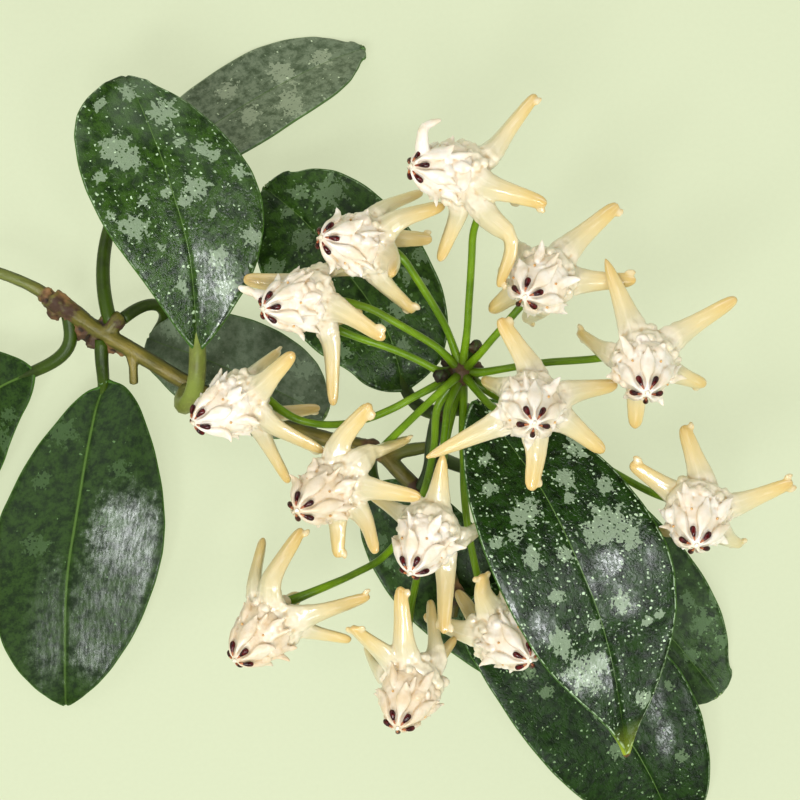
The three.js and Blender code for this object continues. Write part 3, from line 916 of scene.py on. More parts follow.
# %% [markdown]
# ## Leaves: the finish
#
# The upper side is a deep, mottled green under a clear gloss. The material reads two maps: "sheet"
# gives millimetres from the midrib and from the foot, and "span" gives shares of the width and the
# length. Small stretched cells give the flecks, and break the stars' outlines into scales. Fine
# lengthwise wrinkles show only in the gloss: a clear coat mirrors the lamps where a blade carries
# one of the listed patches. The underside is paler and duller.

# %% Leaf finishes: the upper side
UV_SCALE = 0.1
UV_STRETCH = (1 / UV_SCALE, 1 / UV_SCALE, 1)
DRIFT = 1.1
RIB_GREEN = color(80, 108, 42)
EDGE_GREEN = color(66, 104, 34)
# The pale colour of a painted highlight along the leaf margin.
PAINTED_EDGE_HIGHLIGHT = color(176, 198, 160)
# The grey-green of a painted sheen, like the lamps' hazy reflection on the gloss.
PAINTED_SHEEN_GREEN = color(88, 104, 80)
TIP_BROWN = color(92, 58, 34)


def leaf_top(name, deep, lively, silver, flecks, gloss, crinkle=0.06, tip=None, veil=0.0, shine=0.2,
             glaze=0.2, brushed=False, rib=(0.14, 0.3)):
    leaf = Finish(name)
    sheet = leaf.stretched(leaf.map("sheet"), UV_STRETCH)
    span = leaf.parts(leaf.map("span"))
    across, along = span["X"], span["Y"]
    from_midrib = abs(leaf.parts(sheet)["X"])
    side = abs(across * 2 - 1).most(0.05)
    from_margin = from_midrib * (1 - side) / side
    drift = leaf.noise(sheet, 1.1, output="Color")
    drift = leaf.node("ShaderNodeVectorMath", {"operation": "SCALE"}, {0: drift, "Scale": DRIFT})[0]
    drifted = leaf.node("ShaderNodeVectorMath", {"operation": "ADD"}, {0: sheet, 1: drift})[0]

    # stars, with holes in them
    scale_draw, grain_draw = leaf.cells(sheet, 1.15)[1], leaf.cells(sheet, 2.6)[1]
    ragged = leaf.noise(sheet, 0.8, detail=3)
    star = leaf.attribute("splash") + (scale_draw["Red"] - 0.5) * 0.3 + (grain_draw["Red"] - 0.5) * 0.16
    star = (star + (ragged - 0.5) * 0.3).between(0.5, 0.52)
    from_hole, hole_draw = leaf.cells(drifted, 1.2)
    star = star * (1 - (0.3 - from_hole).between(0.0, 0.08) * (hole_draw["Blue"] > 0.7))

    # specks, in crowds
    from_speck, speck_draw = leaf.cells(drifted, 0.95)
    crowd = leaf.noise(sheet, 0.16, detail=3).between(0.4, 0.62)
    size = speck_draw["Red"] * 0.3 * (speck_draw["Green"] < flecks * (0.15 + crowd))
    speck = (size - from_speck).between(0.0, 0.05) * (0.35 + 0.65 * speck_draw["Blue"])

    # the green, the markings on it, a painted sheen and a painted rim highlight
    mottle = leaf.noise(sheet, 0.35, detail=6, roughness=0.7)
    fine = leaf.noise(sheet, 3.2, detail=3)
    tone = leaf.mix(mottle.between(0.36, 0.6), deep, lively)
    tone = leaf.mix(leaf.noise(sheet, 1.3, detail=3).between(0.5, 0.68) * 0.5, tone, deep)
    # Painted sheen: a cloudy grey-green haze towards the tip, as the gloss's reflection would look.
    if veil:
        cloud = leaf.noise(sheet, 0.12, detail=4).between(0.35, 0.65)
        tone = leaf.mix(along.between(0.3, 0.95) * cloud * veil, tone, PAINTED_SHEEN_GREEN)
    tone = leaf.mix(star * (0.5 + 0.55 * fine), tone, silver)
    tone = leaf.mix(speck, tone, scaled(silver, 2.1))
    tone = leaf.mix((1 - from_midrib.between(*rib)) * (0.9 - 0.5 * along), tone, RIB_GREEN)
    edge = 1 - from_margin.between(0.3, 0.6)
    tone = leaf.mix(edge * 0.8, tone, EDGE_GREEN)
    # Painted highlight: a pale broken line just inside the margin, where a rolled edge catches the
    # light.
    painted_rim_highlight = from_margin.between(0.4, 0.6) * (1 - from_margin.between(0.75, 1.0))
    tone = leaf.mix(painted_rim_highlight * ragged.between(0.4, 0.6) * flecks, tone, PAINTED_EDGE_HIGHLIGHT)
    if tip:
        tone = leaf.mix(along.between(0.88, 0.98) * (0.45 + 0.5 * edge), tone, tip)
        tone = leaf.mix(along.between(0.985, 0.994), tone, TIP_BROWN)

    # wrinkles and gloss
    lengthwise = leaf.stretched(drifted, (1, 0.45, 1))
    wrinkle = abs(leaf.noise(lengthwise, 0.7) - 0.5).between(0.0, 0.09)
    ripple = leaf.noise(lengthwise, 1.9)
    if brushed:
        strokes = leaf.stretched(drifted, (2.2, 0.35, 1))
        sheen = leaf.noise(strokes, 1.0, detail=4, roughness=0.65).between(0.35, 0.7)
    else:
        sheen = abs(leaf.noise(lengthwise, 1.0, detail=3, roughness=0.6) - 0.5).between(0.015, 0.1)
        sheen = sheen * ripple.between(0.3, 0.6)
    blur = 0.9 if brushed else 0.5
    wet = (leaf.attribute("wet") + (mottle - 0.5) * blur).between(0.36, 0.7)
    rough = gloss + star * 0.1 + fine * 0.05
    linked = {"Base Color": tone, "Roughness": rough, "Coat Weight": wet * (0.12 + 0.88 * sheen)}
    fixed = {"IOR": 1.48, "Specular IOR Level": shine, "Coat Roughness": glaze}
    height = wrinkle * 0.7 + ripple * 0.6 + star * 0.12 + speck * 0.2
    return leaf.surface(linked, fixed, height, crinkle * MM)


SILVER = color(130, 146, 118)
DIM_SILVER = color(94, 114, 80)
YELLOW_TIP = color(136, 152, 34)
LEFT_GREENS = color(14, 34, 2), color(46, 74, 16)
RIGHT_GREENS = color(6, 22, 0), color(26, 52, 6)
REAR_GREENS = color(16, 34, 4), color(46, 72, 24)
SIDE_GREENS = color(12, 32, 0), color(38, 62, 14)
PALE_GREENS = color(62, 76, 50), color(112, 124, 98)
DULL_GREENS = color(66, 80, 54), color(94, 106, 82)
side_top = leaf_top("leaf side", *SIDE_GREENS, color(62, 84, 48), 0.06, 0.5, crinkle=0.03,
                    shine=0.12, glaze=0.26, brushed=True, rib=(0.25, 0.6))
rear_top = leaf_top("leaf rear", *REAR_GREENS, color(84, 108, 70), 0.22, 0.32, crinkle=0.04,
                    veil=0.25, shine=0.15)
LEAF_TOPS = {
    "leaf_front_left": leaf_top("leaf front left", *LEFT_GREENS, SILVER, 0.42, 0.25, veil=0.5),
    "leaf_front_right": leaf_top("leaf front right", *RIGHT_GREENS, SILVER, 0.72, 0.25, tip=YELLOW_TIP),
    "leaf_behind_flowers": leaf_top("leaf behind flowers", *LEFT_GREENS, DIM_SILVER, 0.36, 0.3,
                                    crinkle=0.05),
    "leaf_bottom": leaf_top("leaf lower", *RIGHT_GREENS, DIM_SILVER, 0.4, 0.3, shine=0.15),
    "leaf_behind_stem": leaf_top("leaf dull", *DULL_GREENS, color(110, 124, 98), 0.08, 0.45,
                                 crinkle=0.03),
    "leaf_top": leaf_top("leaf pale rear", *PALE_GREENS, color(146, 156, 128), 0.2, 0.28,
                         crinkle=0.04, veil=0.5, shine=0.3),
    "leaf_bottom_left": side_top,
    "leaf_far_left": side_top,
    "leaf_right_rear": rear_top,
    "leaf_low_middle": rear_top,
}
print("upper sides for", len(LEAF_TOPS), "leaves")


# %% Leaf finishes: underside, margin and stalk
def leaf_under(name, base, rib):
    leaf = Finish(name)
    sheet = leaf.stretched(leaf.map("sheet"), UV_STRETCH)
    mottle = leaf.noise(sheet, 0.5, detail=4)
    from_midrib = abs(leaf.parts(sheet)["X"])
    tone = leaf.mix(mottle, base, scaled(base, 0.75))
    tone = leaf.mix((1 - from_midrib.between(0.5, 1.4)) * 0.7, tone, rib)
    return leaf.surface({"Base Color": tone}, {"Roughness": 0.5}, mottle, 0.2 * MM)


def leaf_margin(name, base):
    leaf = Finish(name)
    worn = leaf.noise(leaf.place(), 300, detail=3)
    tone = leaf.mix(worn, base, scaled(base, 0.6))
    return leaf.surface({"Base Color": tone}, {"Roughness": 0.35}, worn, 0.05 * MM)


def stalk_finish(name, base, shade):
    """The skin of a leaf's stalk, with patches of its shade and small pale streaks."""
    stalk = Finish(name)
    patches = stalk.noise(stalk.place(), 120, detail=3)
    fine = stalk.noise(stalk.place(), 1100, detail=3)
    tone = stalk.mix(patches.between(0.35, 0.65), base, shade)
    tone = stalk.mix(fine.between(0.5, 0.8) * 0.3, tone, scaled(base, 1.8))
    fixed = {"Roughness": 0.42, "Specular IOR Level": 0.25}
    return stalk.surface({"Base Color": tone}, fixed, fine, 0.05 * MM)


under = leaf_under("leaf underside", color(86, 112, 62), color(132, 152, 84))
margin = leaf_margin("leaf margin", color(70, 100, 42))
dark_stalk = stalk_finish("dark leaf stalk", color(48, 68, 0), color(32, 46, 0))
olive_stalk = stalk_finish("olive leaf stalk", color(118, 130, 54), color(98, 100, 46))
STALK_FINISHES = {"leaf_front_left": olive_stalk}
print("materials so far:", len(bpy.data.materials))


# %% [markdown]
# ## Leaves: making them
#
# Each blade is bent, grooved along its midrib, rolled down at its margin and waved a little, and then
# Solidify gives it its thickness, two fifths as much at the margin. The stalk is a tube that goes
# on under the blade as its keel.

# %% Leaf blades
BLADE_THICKNESS = 1.0 * MM
GROOVE_DEPTH = 0.3 * MM
GROOVE_WIDTH = 0.55 * MM
MARGIN_ROLL = 0.35 * MM
MARGIN_THINNING = 0.6
WAVE_HEIGHT = 0.85 * MM
WAVES_ACROSS = 75
WAVES_ALONG = 55


def rest_on_floor(piece, clear):
    """Lets no corner come nearer to the floor than this."""
    corners = corners_of(piece)
    low = corners[:, 2] < 2 * clear
    corners[low, 2] = clear + np.exp((corners[low, 2] - 2 * clear) / clear) * clear
    put_corners(piece, corners)


def make_blade(node, seed):
    sheet, across, along = flat_sheet(node + "_blade")
    cage = cage_for(grown_blade(*leaf_places[node]))
    apply(sheet, "LATTICE", object=cage)
    bpy.data.objects.remove(cage)
    places = distances(sheet, across, along)
    groove = -GROOVE_DEPTH * np.exp(-((places[:, 0] / GROOVE_WIDTH) ** 2))
    roll = -MARGIN_ROLL * np.abs(across) ** 10
    waves = [noise.noise(Vector((x * WAVES_ACROSS, y * WAVES_ALONG, seed))) for x, y in places]
    lift(sheet, groove + roll + WAVE_HEIGHT * np.array(waves) * (0.4 + 0.6 * np.abs(across)))
    rest_on_floor(sheet, BLADE_THICKNESS / 2)
    write_attribute(sheet, "splash", splash_field(node, sheet, places, seed))
    write_attribute(sheet, "wet", wet_field(node, sheet))
    write_uv(sheet, "sheet", places / MM * UV_SCALE)
    write_uv(sheet, "span", np.stack([across / 2 + 0.5, along], axis=1))
    group = sheet.vertex_groups.new(name="thick")
    for corner, share in enumerate(1 - MARGIN_THINNING * np.abs(across) ** 6):
        group.add([corner], share, "REPLACE")
    dress(sheet, [LEAF_TOPS[node], under, margin])
    apply(sheet, "SOLIDIFY", thickness=BLADE_THICKNESS, offset=0, vertex_group="thick",
          material_offset=1, material_offset_rim=2)
    finish_piece(sheet, node, "leaf_green")
    return sheet


for seed, node in enumerate(LEAVES):
    print(node, "has", len(make_blade(node, seed).data.polygons), "faces in its blade")


# %% Leaf stalks
STALK_POINTS = 60
STALK_SMOOTHING = 8
STALK_TAPER = (1.1, 0.96, 0.92, 0.68, 0.32, 0.12)


def make_stalk(node):
    blade, stalk, radius = leaf_places[node]
    keel = blade[: len(blade) - 2, 2].copy()
    side = blade[: len(keel), -1] - blade[: len(keel), 0]
    up = unit(np.cross(side, np.gradient(blade[:, 2], axis=0)[: len(keel)]))
    shares = np.linspace(0.55, 0.2, len(keel))
    keel -= up * (radius * shares * 0.75 + BLADE_THICKNESS * 0.35)[:, None]
    line = smooth_line(np.vstack([stalk, keel]), STALK_POINTS)
    ease(line, STALK_SMOOTHING)
    part = length_of(smooth_line(stalk, 20)) / length_of(line)
    places = [0, part * 0.75, part, part + 0.05, part + 0.17, 1]
    slim = np.interp(np.linspace(0, 1, STALK_POINTS), places, STALK_TAPER)
    piece = tube(node + "_stalk", line, radius * slim)
    finish_piece(piece, node, "leaf_green", STALK_FINISHES.get(node, dark_stalk))
    return piece


for node in LEAVES:
    print(node, "has", len(make_stalk(node).data.polygons), "faces in its stalk")


# %% [markdown]
# ## Flowers: where they are
#
# A crown node is a ten-sided cone, so its nose and the middle of its back are the two corners that
# have ten equally long edges. They give the flower's seat and the height of its nose. How each
# flower looks at the camera is listed here: where its star is seen, in pixels across and down, the
# direction that it faces, and the direction in which one of its drops lies from its axis. The
# petals of a corolla node are five-sided tubes with a closing corner at each tip, from which the
# rings are followed back. A long curled horn on a crown is found in the same way.

# %% Flower places
FLOWERS = sorted(name[-2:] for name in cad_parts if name.startswith("corona_"))
NOSE_HEIGHT = 20 * MM
SPUR_COUNT = 5
SHORT_EDGE = 1.2 * MM
FACES = {
    "01": ((410, 166), (-0.78, 0.05, 0.62), (-0.50, 0.53, -0.68)),
    "02": ((320, 237), (-0.69, 0.09, 0.71), (-0.51, 0.63, -0.58)),
    "03": ((262, 309), (-0.74, -0.16, 0.65), (-0.61, 0.55, -0.56)),
    "04": ((192, 423), (-0.78, -0.35, 0.53), (-0.47, 0.87, -0.12)),
    "05": ((296, 511), (-0.56, -0.33, 0.76), (-0.83, 0.22, -0.51)),
    "06": ((234, 661), (-0.59, -0.55, 0.59), (-0.76, 0.14, -0.64)),
    "07": ((410, 574), (-0.31, -0.67, 0.67), (-0.78, -0.22, -0.58)),
    "08": ((397, 729), (-0.24, -0.64, 0.73), (-0.95, -0.02, -0.32)),
    "09": ((531, 661), (0.45, -0.40, 0.80), (-0.62, -0.78, -0.04)),
    "10": ((534, 424), (-0.01, -0.30, 0.95), (-0.97, -0.23, -0.08)),
    "11": ((524, 297), (-0.36, -0.32, 0.88), (-0.87, 0.45, -0.20)),
    "12": ((647, 394), (-0.03, -0.52, 0.85), (-0.96, -0.23, -0.18)),
    "13": ((696, 546), (-0.11, -0.53, 0.84), (-0.99, 0.08, -0.08)),
}


def even_corners(corners, links, count):
    """Corners with this many equally long edges, and how long the edges are."""
    found = []
    for i, near in enumerate(links):
        lengths = np.linalg.norm(corners[sorted(near)] - corners[i], axis=1)
        if len(near) == count and np.ptp(lengths) < 0.03 * MM:
            found.append((float(lengths.mean()), i))
    return sorted(found)


def tips_of(corners, links):
    """Lines from the tips of five-sided tubes back to where they join their body."""
    lines = []
    for edge, tip in even_corners(corners, links, 5):
        if edge < SHORT_EDGE:
            rings, _ = rings_from(links[tip], links, [tip])
            lines.append(np.array([corners[tip], *[corners[ring].mean(0) for ring in rings]]))
    return lines


def spun(turn, angle):
    """A flower's axes turned about its own Z."""
    return turn @ Matrix.Rotation(angle, 4, "Z")


def on_axis(turn, height):
    """The place on a flower's axis at a height in mm."""
    return np.array(turn @ Vector((0, 0, height * MM)))


def read_flower(number):
    """The flower's own axes as a matrix (Z towards its nose, X to a spur), its seat and its lines."""
    corners, links = read_solid("corona_" + number)
    ten = even_corners(corners, links, 10)
    nose, base = corners[ten[0][1]], corners[ten[-1][1]]
    seat = nose - unit(nose - base) * NOSE_HEIGHT
    star, facing, drop = FACES[number]
    axis = Vector(facing).normalized()
    side = axis.cross(Vector(drop)).normalized()
    turn = spun(Matrix((side.cross(axis), side, axis)).transposed().to_4x4(), math.pi / SPUR_COUNT)
    turn.translation = Vector(in_view(*star, nose[2] / MM)) - axis * NOSE_HEIGHT
    petals = tips_of(*read_solid("corolla_" + number))
    return {"turn": turn, "seat": seat, "petals": petals, "horns": tips_of(corners, links)}


flower_places = {number: read_flower(number) for number in FLOWERS}
for number, place in flower_places.items():
    tilt = math.degrees(place["turn"].col[2].xyz.angle(Vector((0, 0, 1))))
    print("flower", number, "petals", len(place["petals"]), "tilted", round(tilt), "degrees")


# %% [markdown]
# ## Flowers: growing shapes section by section
#
# Scales, drops and petals all have the same way of being made. A small disc is extruded along +Z
# again and again, and each new end is resized: that is how one draws out such a shape by hand. It
# is one unit long. The bend tool needs a window, so the finished shape is laid along its real line
# by moving its corners: X goes to the side, Y goes outwards, and Z goes along the line.

# %% Growing and bending
def grown(name, sections, sides=10):
    """A closed shape of unit length. A section is its share of the length, and half sizes in mm."""
    sections = [(place, wide * MM, high * MM) for place, wide, high in sections]
    start, wide, high = sections[0]
    bpy.ops.mesh.primitive_circle_add(vertices=sides, radius=1, fill_type="NGON", location=(0, 0, start))
    piece = bpy.context.object
    piece.name = name
    bpy.ops.object.transform_apply(location=True)
    bpy.ops.object.mode_set(mode="EDIT")
    bpy.ops.mesh.select_all(action="SELECT")
    bpy.ops.transform.resize(value=(wide, high, 1), center_override=(0, 0, start))
    for (last, last_wide, last_high), (place, wide, high) in zip(sections, sections[1:]):
        bpy.ops.mesh.extrude_region_move(TRANSFORM_OT_translate={"value": (0, 0, place - last)})
        ratio = (wide / last_wide, high / last_high, 1)
        bpy.ops.transform.resize(value=ratio, center_override=(0, 0, place))
    bpy.ops.mesh.select_all(action="SELECT")
    bpy.ops.mesh.normals_make_consistent(inside=False)
    bpy.ops.object.mode_set(mode="OBJECT")
    apply(piece, "SUBSURF", levels=1, render_levels=1)
    return piece


def bent(template, name, line, outwards):
    """A copy of a unit shape laid along a line. outwards is where its Y goes, at each point or all."""
    piece = new_piece(name, template.data.copy())
    corners = corners_of(piece)
    ahead = unit(np.gradient(line, axis=0))
    out = np.broadcast_to(outwards, line.shape)
    out = unit(out - (out * ahead).sum(1)[:, None] * ahead)
    side = np.cross(out, ahead)
    where = np.clip(corners[:, 2], 0, 1) * (len(line) - 1)
    spots = np.arange(len(line))

    def at(values):
        return np.stack([np.interp(where, spots, values[:, axis]) for axis in range(3)], axis=1)

    put_corners(piece, at(line) + corners[:, :1] * at(side) + corners[:, 1:2] * at(out))
    return piece


def copied(template, name, matrix):
    """A copy of a template with its own mesh, moved by a matrix."""
    piece = new_piece(name, template.data.copy())
    piece.data.transform(matrix)
    return piece


# %% [markdown]
# ## Flowers: the parts of a crown
#
# The crown is a blunt waxy cone. Five plump scales lie on it: each starts as a narrow tongue at the
# nose, swells, and ends in a sharp spur that stands out. Smaller teeth stand behind the creases
# between them. Between the tongues sit glossy dark red drops, each in a thin brown rim, and a tiny
# star closes the nose. They are all modelled once, on the flower's own axes: X outwards, Z to the nose.

# %% Crown templates: cone, scales and teeth
PROFILE_POINTS = 24
LEAN = (1, 0, 0.7)


def in_profile(template, name, points):
    """A template laid along pairs of outward distance and height on the flower's axes, in mm."""
    line = smooth_line(np.array([(out, 0, height) for out, height in points]) * MM, PROFILE_POINTS)
    return bent(template, name, line, line[:, :1] * LEAN)


CONE_BACK = 6.5 * MM
CONE_LENGTH = 13.2 * MM
core_unit = grown("core unit", [
    (0, 5.6, 5.6), (0.08, 6.3, 6.3), (0.19, 6.5, 6.5), (0.34, 5.9, 5.9), (0.49, 5.0, 5.0),
    (0.64, 4.0, 4.0), (0.79, 2.85, 2.85), (0.89, 2.0, 2.0), (0.96, 1.3, 1.3), (1, 0.8, 0.8),
], sides=20)
cone = Matrix.Translation((0, 0, CONE_BACK)) @ Matrix.Diagonal((1, 1, CONE_LENGTH, 1))
core = copied(core_unit, "core", cone)

scale_unit = grown("scale unit", [
    (0, 0.2, 0.16), (0.09, 0.34, 0.34), (0.2, 0.46, 0.44), (0.3, 0.9, 0.62), (0.43, 1.5, 0.85),
    (0.57, 1.8, 0.95), (0.7, 1.5, 0.85), (0.81, 0.95, 0.65), (0.9, 0.5, 0.42), (1, 0.1, 0.1),
])
TONGUE = [(1.05, 19.45), (1.7, 19.1), (2.45, 18.35), (3.2, 17.3), (3.85, 16.1), (4.5, 14.9)]
SPURS = [
    [(5.2, 13.7), (6.2, 12.8), (7.6, 12.2)],
    [(5.1, 13.4), (5.9, 11.9), (6.9, 10.5)],
    [(5.3, 14.0), (6.6, 13.6), (7.9, 13.9)],
    [(5.2, 13.5), (6.2, 12.2), (7.3, 11.2)],
]
scales = [in_profile(scale_unit, "scale", TONGUE + spur) for spur in SPURS]

tooth_unit = grown("tooth unit", [
    (0, 0.4, 0.3), (0.2, 0.95, 0.6), (0.4, 1.25, 0.8), (0.58, 1.1, 0.75), (0.75, 0.7, 0.6),
    (0.88, 0.4, 0.36), (1, 0.1, 0.1),
])
TOOTH_FOOT = [(5.3, 12.4), (6.1, 11.0)]
TOOTH_ENDS = [
    [(6.9, 9.7), (8.1, 9.0), (9.7, 8.6)],
    [(6.8, 9.8), (7.6, 9.4), (8.3, 9.6)],
    [(6.9, 9.4), (7.7, 8.2), (8.8, 7.2)],
]
teeth = [in_profile(tooth_unit, "tooth", TOOTH_FOOT + end) for end in TOOTH_ENDS]
print("cone", len(core.data.polygons), "faces, scale", len(scales[0].data.polygons), "faces")

# %% Crown templates: drops and their rims
drop_unit = grown("drop unit", [
    (0, 0.12, 0.12), (0.12, 0.24, 0.22), (0.3, 0.42, 0.38), (0.55, 0.64, 0.58), (0.78, 0.74, 0.64),
    (0.93, 0.56, 0.5), (1, 0.24, 0.22),
])
drop = in_profile(drop_unit, "drop", [(1.35, 19.4), (2.4, 18.7), (3.6, 17.45)])
rim_unit = grown("rim unit", [
    (0, 0.1, 0.1), (0.2, 0.2, 0.22), (0.6, 0.34, 0.34), (0.9, 0.36, 0.3), (1, 0.2, 0.2),
])
rim = in_profile(rim_unit, "rim", [(1.0, 19.6), (1.7, 19.2), (2.5, 18.55)])
print("drop", len(drop.data.polygons), "faces, rim", len(rim.data.polygons), "faces")

# %% Crown templates: the star at the nose, and a ball for every bump
STAR_POINTS = 10
STAR_WAIST = 0.5


def make_star():
    bpy.ops.mesh.primitive_cone_add(
        vertices=STAR_POINTS, radius1=1.25 * MM, radius2=0.35 * MM, depth=0.7 * MM,
        location=(0, 0, NOSE_HEIGHT), end_fill_type="NGON",
    )
    star = bpy.context.object
    star.name = "star"
    bpy.ops.object.transform_apply(location=True)
    corners = corners_of(star)
    turn = np.arctan2(corners[:, 1], corners[:, 0]) * STAR_POINTS / (2 * math.pi)
    corners[np.round(turn) % 2 == 0, :2] *= STAR_WAIST
    put_corners(star, corners)
    apply(star, "SUBSURF", levels=1, render_levels=1)
    return star


star = make_star()
bpy.ops.mesh.primitive_ico_sphere_add(subdivisions=2, radius=1)
bump = bpy.context.object
bump.name = "bump"
print("star", len(star.data.polygons), "faces, bump", len(bump.data.polygons), "faces")


# %% [markdown]
# ## Flowers: wax, petals and drops
#
# The crown is white wax. The corolla is the same wax, thinner and a little green where it leaves
# the collar, and it turns butter yellow along the petals: an attribute, "reach", says how far along
# a petal each corner is. Light goes a little way into both. The drops are like dark red glass.

# %% Flower finishes
WAX = {"Subsurface Radius": (1.0, 0.8, 0.55), "Subsurface Scale": 0.9 * MM, "IOR": 1.42}
CROWN_WAX = {"Subsurface Weight": 0.2, "Roughness": 0.34, "Coat Weight": 0.5, "Coat Roughness": 0.15}
PETAL_WAX = {"Subsurface Weight": 0.25, "Roughness": 0.28, "Coat Weight": 0.7, "Coat Roughness": 0.08}
PETAL_TONES = [
    (0.0, color(220, 208, 182)), (0.15, color(201, 190, 152)), (0.4, color(209, 191, 141)),
    (0.72, color(210, 184, 119)), (1.0, color(204, 169, 95)),
]


def crown_finish(name, white, cream, crease):
    crown = Finish(name)
    cloud = crown.noise(crown.place(), 260, detail=3)
    fine = crown.noise(crown.place(), 1500)
    tone = crown.mix(cloud.between(0.35, 0.7), white, cream)
    # Painted shade: the crease colour darkens the wax in the hollows between the scales.
    tone = crown.mix(crown.attribute("hollow").between(0.02, 0.17) * 0.85, tone, crease)
    tone = crown.mix(fine.between(0.55, 0.8) * 0.2, tone, color(222, 200, 160))
    return crown.surface({"Base Color": tone}, {**WAX, **CROWN_WAX}, cloud + fine * 0.4, 0.2 * MM)


def petal_finish():
    petal = Finish("petal wax")
    cloud = petal.noise(petal.place(), 170, detail=3)
    lengthwise = petal.stretched(petal.attribute("unrolled", "Vector"), (2.6, 2.6, 0.12))
    streak = petal.noise(lengthwise, 1.0, detail=3, roughness=0.6)
    tone = petal.ramp(petal.attribute("reach") + (cloud - 0.5) * 0.25, PETAL_TONES)
    # Painted shade: a darker gold in the hollows of the corolla.
    tone = petal.mix(petal.attribute("hollow").between(0.02, 0.2) * 0.6, tone, color(196, 158, 92))
    # Painted highlight: pale lengthwise streaks, like the gloss catching light along each petal.
    tone = petal.mix(streak.between(0.5, 0.7) * 0.3, tone, color(240, 230, 206))
    tone = petal.mix(petal.attribute("clear") * 0.55, tone, color(222, 214, 186))
    return petal.surface({"Base Color": tone}, {**WAX, **PETAL_WAX}, cloud * 0.5 + streak, 0.16 * MM)


def drop_finish():
    dark = Finish("dark red drop")
    cloud = dark.noise(dark.place(), 900)
    tone = dark.mix(cloud.between(0.4, 0.7), color(40, 2, 3), color(84, 8, 8))
    return dark.surface({"Base Color": tone}, {"Roughness": 0.14, "Specular IOR Level": 0.3})


def mottled(name, first, second, roughness):
    """A plain finish of two colours that change into each other every millimetre or less."""
    plain = Finish(name)
    cloud = plain.noise(plain.place(), 1200)
    tone = plain.mix(cloud.between(0.35, 0.65), first, second)
    return plain.surface({"Base Color": tone}, {"Roughness": roughness}, cloud, 0.05 * MM)


# Each wax is white, cream, and the colour of the painted shade in its creases.
WHITE_TONES = color(232, 222, 208), color(225, 208, 182), color(203, 168, 116)
WARM_TONES = color(222, 206, 182), color(211, 188, 152), color(188, 150, 98)
WARM_FLOWERS = ("05", "06", "08")
white_wax = crown_finish("white crown wax", *WHITE_TONES)
warm_wax = crown_finish("warm crown wax", *WARM_TONES)
CROWN_MATERIALS = [
    white_wax,
    drop_finish(),
    mottled("brown rim", color(122, 48, 22), color(176, 104, 56), 0.4),
    mottled("tan dot", color(186, 132, 66), color(218, 178, 118), 0.45),
    mottled("grey star", color(214, 198, 168), color(240, 232, 216), 0.35),
]
BODY, DROP, RIM, DOT, STAR = range(len(CROWN_MATERIALS))
PETAL_MATERIAL = petal_finish()
print("materials so far:", len(bpy.data.materials))


# %% [markdown]
# ## Flowers: putting a crown together
#
# The cone, its five scales, whose spurs differ a little, and the teeth are one wax body on the real
# flower. A voxel remesh makes one skin of them, smoothing rounds off the creases, and noise raises
# small lumps towards the back. Then come the drops in their rims, the star, and a brown dot at the
# end of each crease. A crown that has a long horn gets it as one more shape along the horn's line.
# At the end Decimate takes away the faces that flat places can spare.

# %% The wax of a crown
FIFTH = 2 * math.pi / SPUR_COUNT
BLOBS = 18
CONE_SHAPE = ((7.4, 9, 11, 13, 15), (6.3, 6.5, 5.8, 4.9, 3.9))
CROWN_VOXEL = 0.21 * MM
LUMP_HEIGHT = 0.16 * MM
LUMP_SIZE = 2.0 * MM
THORN = (0.92, 0.6)
horn_unit = grown("horn unit", [
    (0, 2.3, 1.8), (0.25, 1.95, 1.5), (0.5, 1.5, 1.2), (0.75, 1.1, 0.9), (0.9, 0.7, 0.6),
    (1, 0.15, 0.15),
])


def bump_at(spot, size, draw):
    """A slightly squashed round bump."""
    squash = Matrix.Diagonal([size * draw.uniform(0.85, 1.1) for _ in range(3)]).to_4x4()
    return copied(bump, "bump", Matrix.Translation(spot) @ squash)


def spurs_and_teeth(turn, draw):
    """A scale, the tooth behind the next crease and a small thorn, five times."""
    for i in range(SPUR_COUNT):
        at_scale = spun(turn, i * FIFTH + draw.uniform(-0.06, 0.06))
        behind = spun(turn, (i + 0.5) * FIFTH + draw.uniform(-0.12, 0.12))
        size = Matrix.Diagonal((draw.uniform(0.97, 1.03), draw.uniform(0.95, 1.08), 1, 1))
        yield copied(draw.choice(scales), "scale", at_scale @ size)
        size = Matrix.Diagonal((draw.uniform(0.9, 1.05), draw.uniform(0.9, 1.3), 1, 1))
        yield copied(draw.choice(teeth), "tooth", behind @ size)
        at_thorn = spun(at_scale, draw.choice((-1, 1)) * draw.uniform(0.2, 0.3))
        small = Matrix.Diagonal((*THORN, draw.uniform(1.0, 1.12), 1))
        yield copied(draw.choice(teeth), "thorn", at_thorn @ small)


def blobs_round(turn, draw):
    """Bumps all round the cone."""
    for _ in range(BLOBS):
        height = draw.uniform(7.4, 13.5)
        out = np.interp(height, *CONE_SHAPE) - 0.35
        spot = spun(turn, draw.uniform(0, 2 * math.pi)) @ Vector((out * MM, 0, height * MM))
        yield bump_at(spot, draw.uniform(0.9, 1.5) * MM, draw)


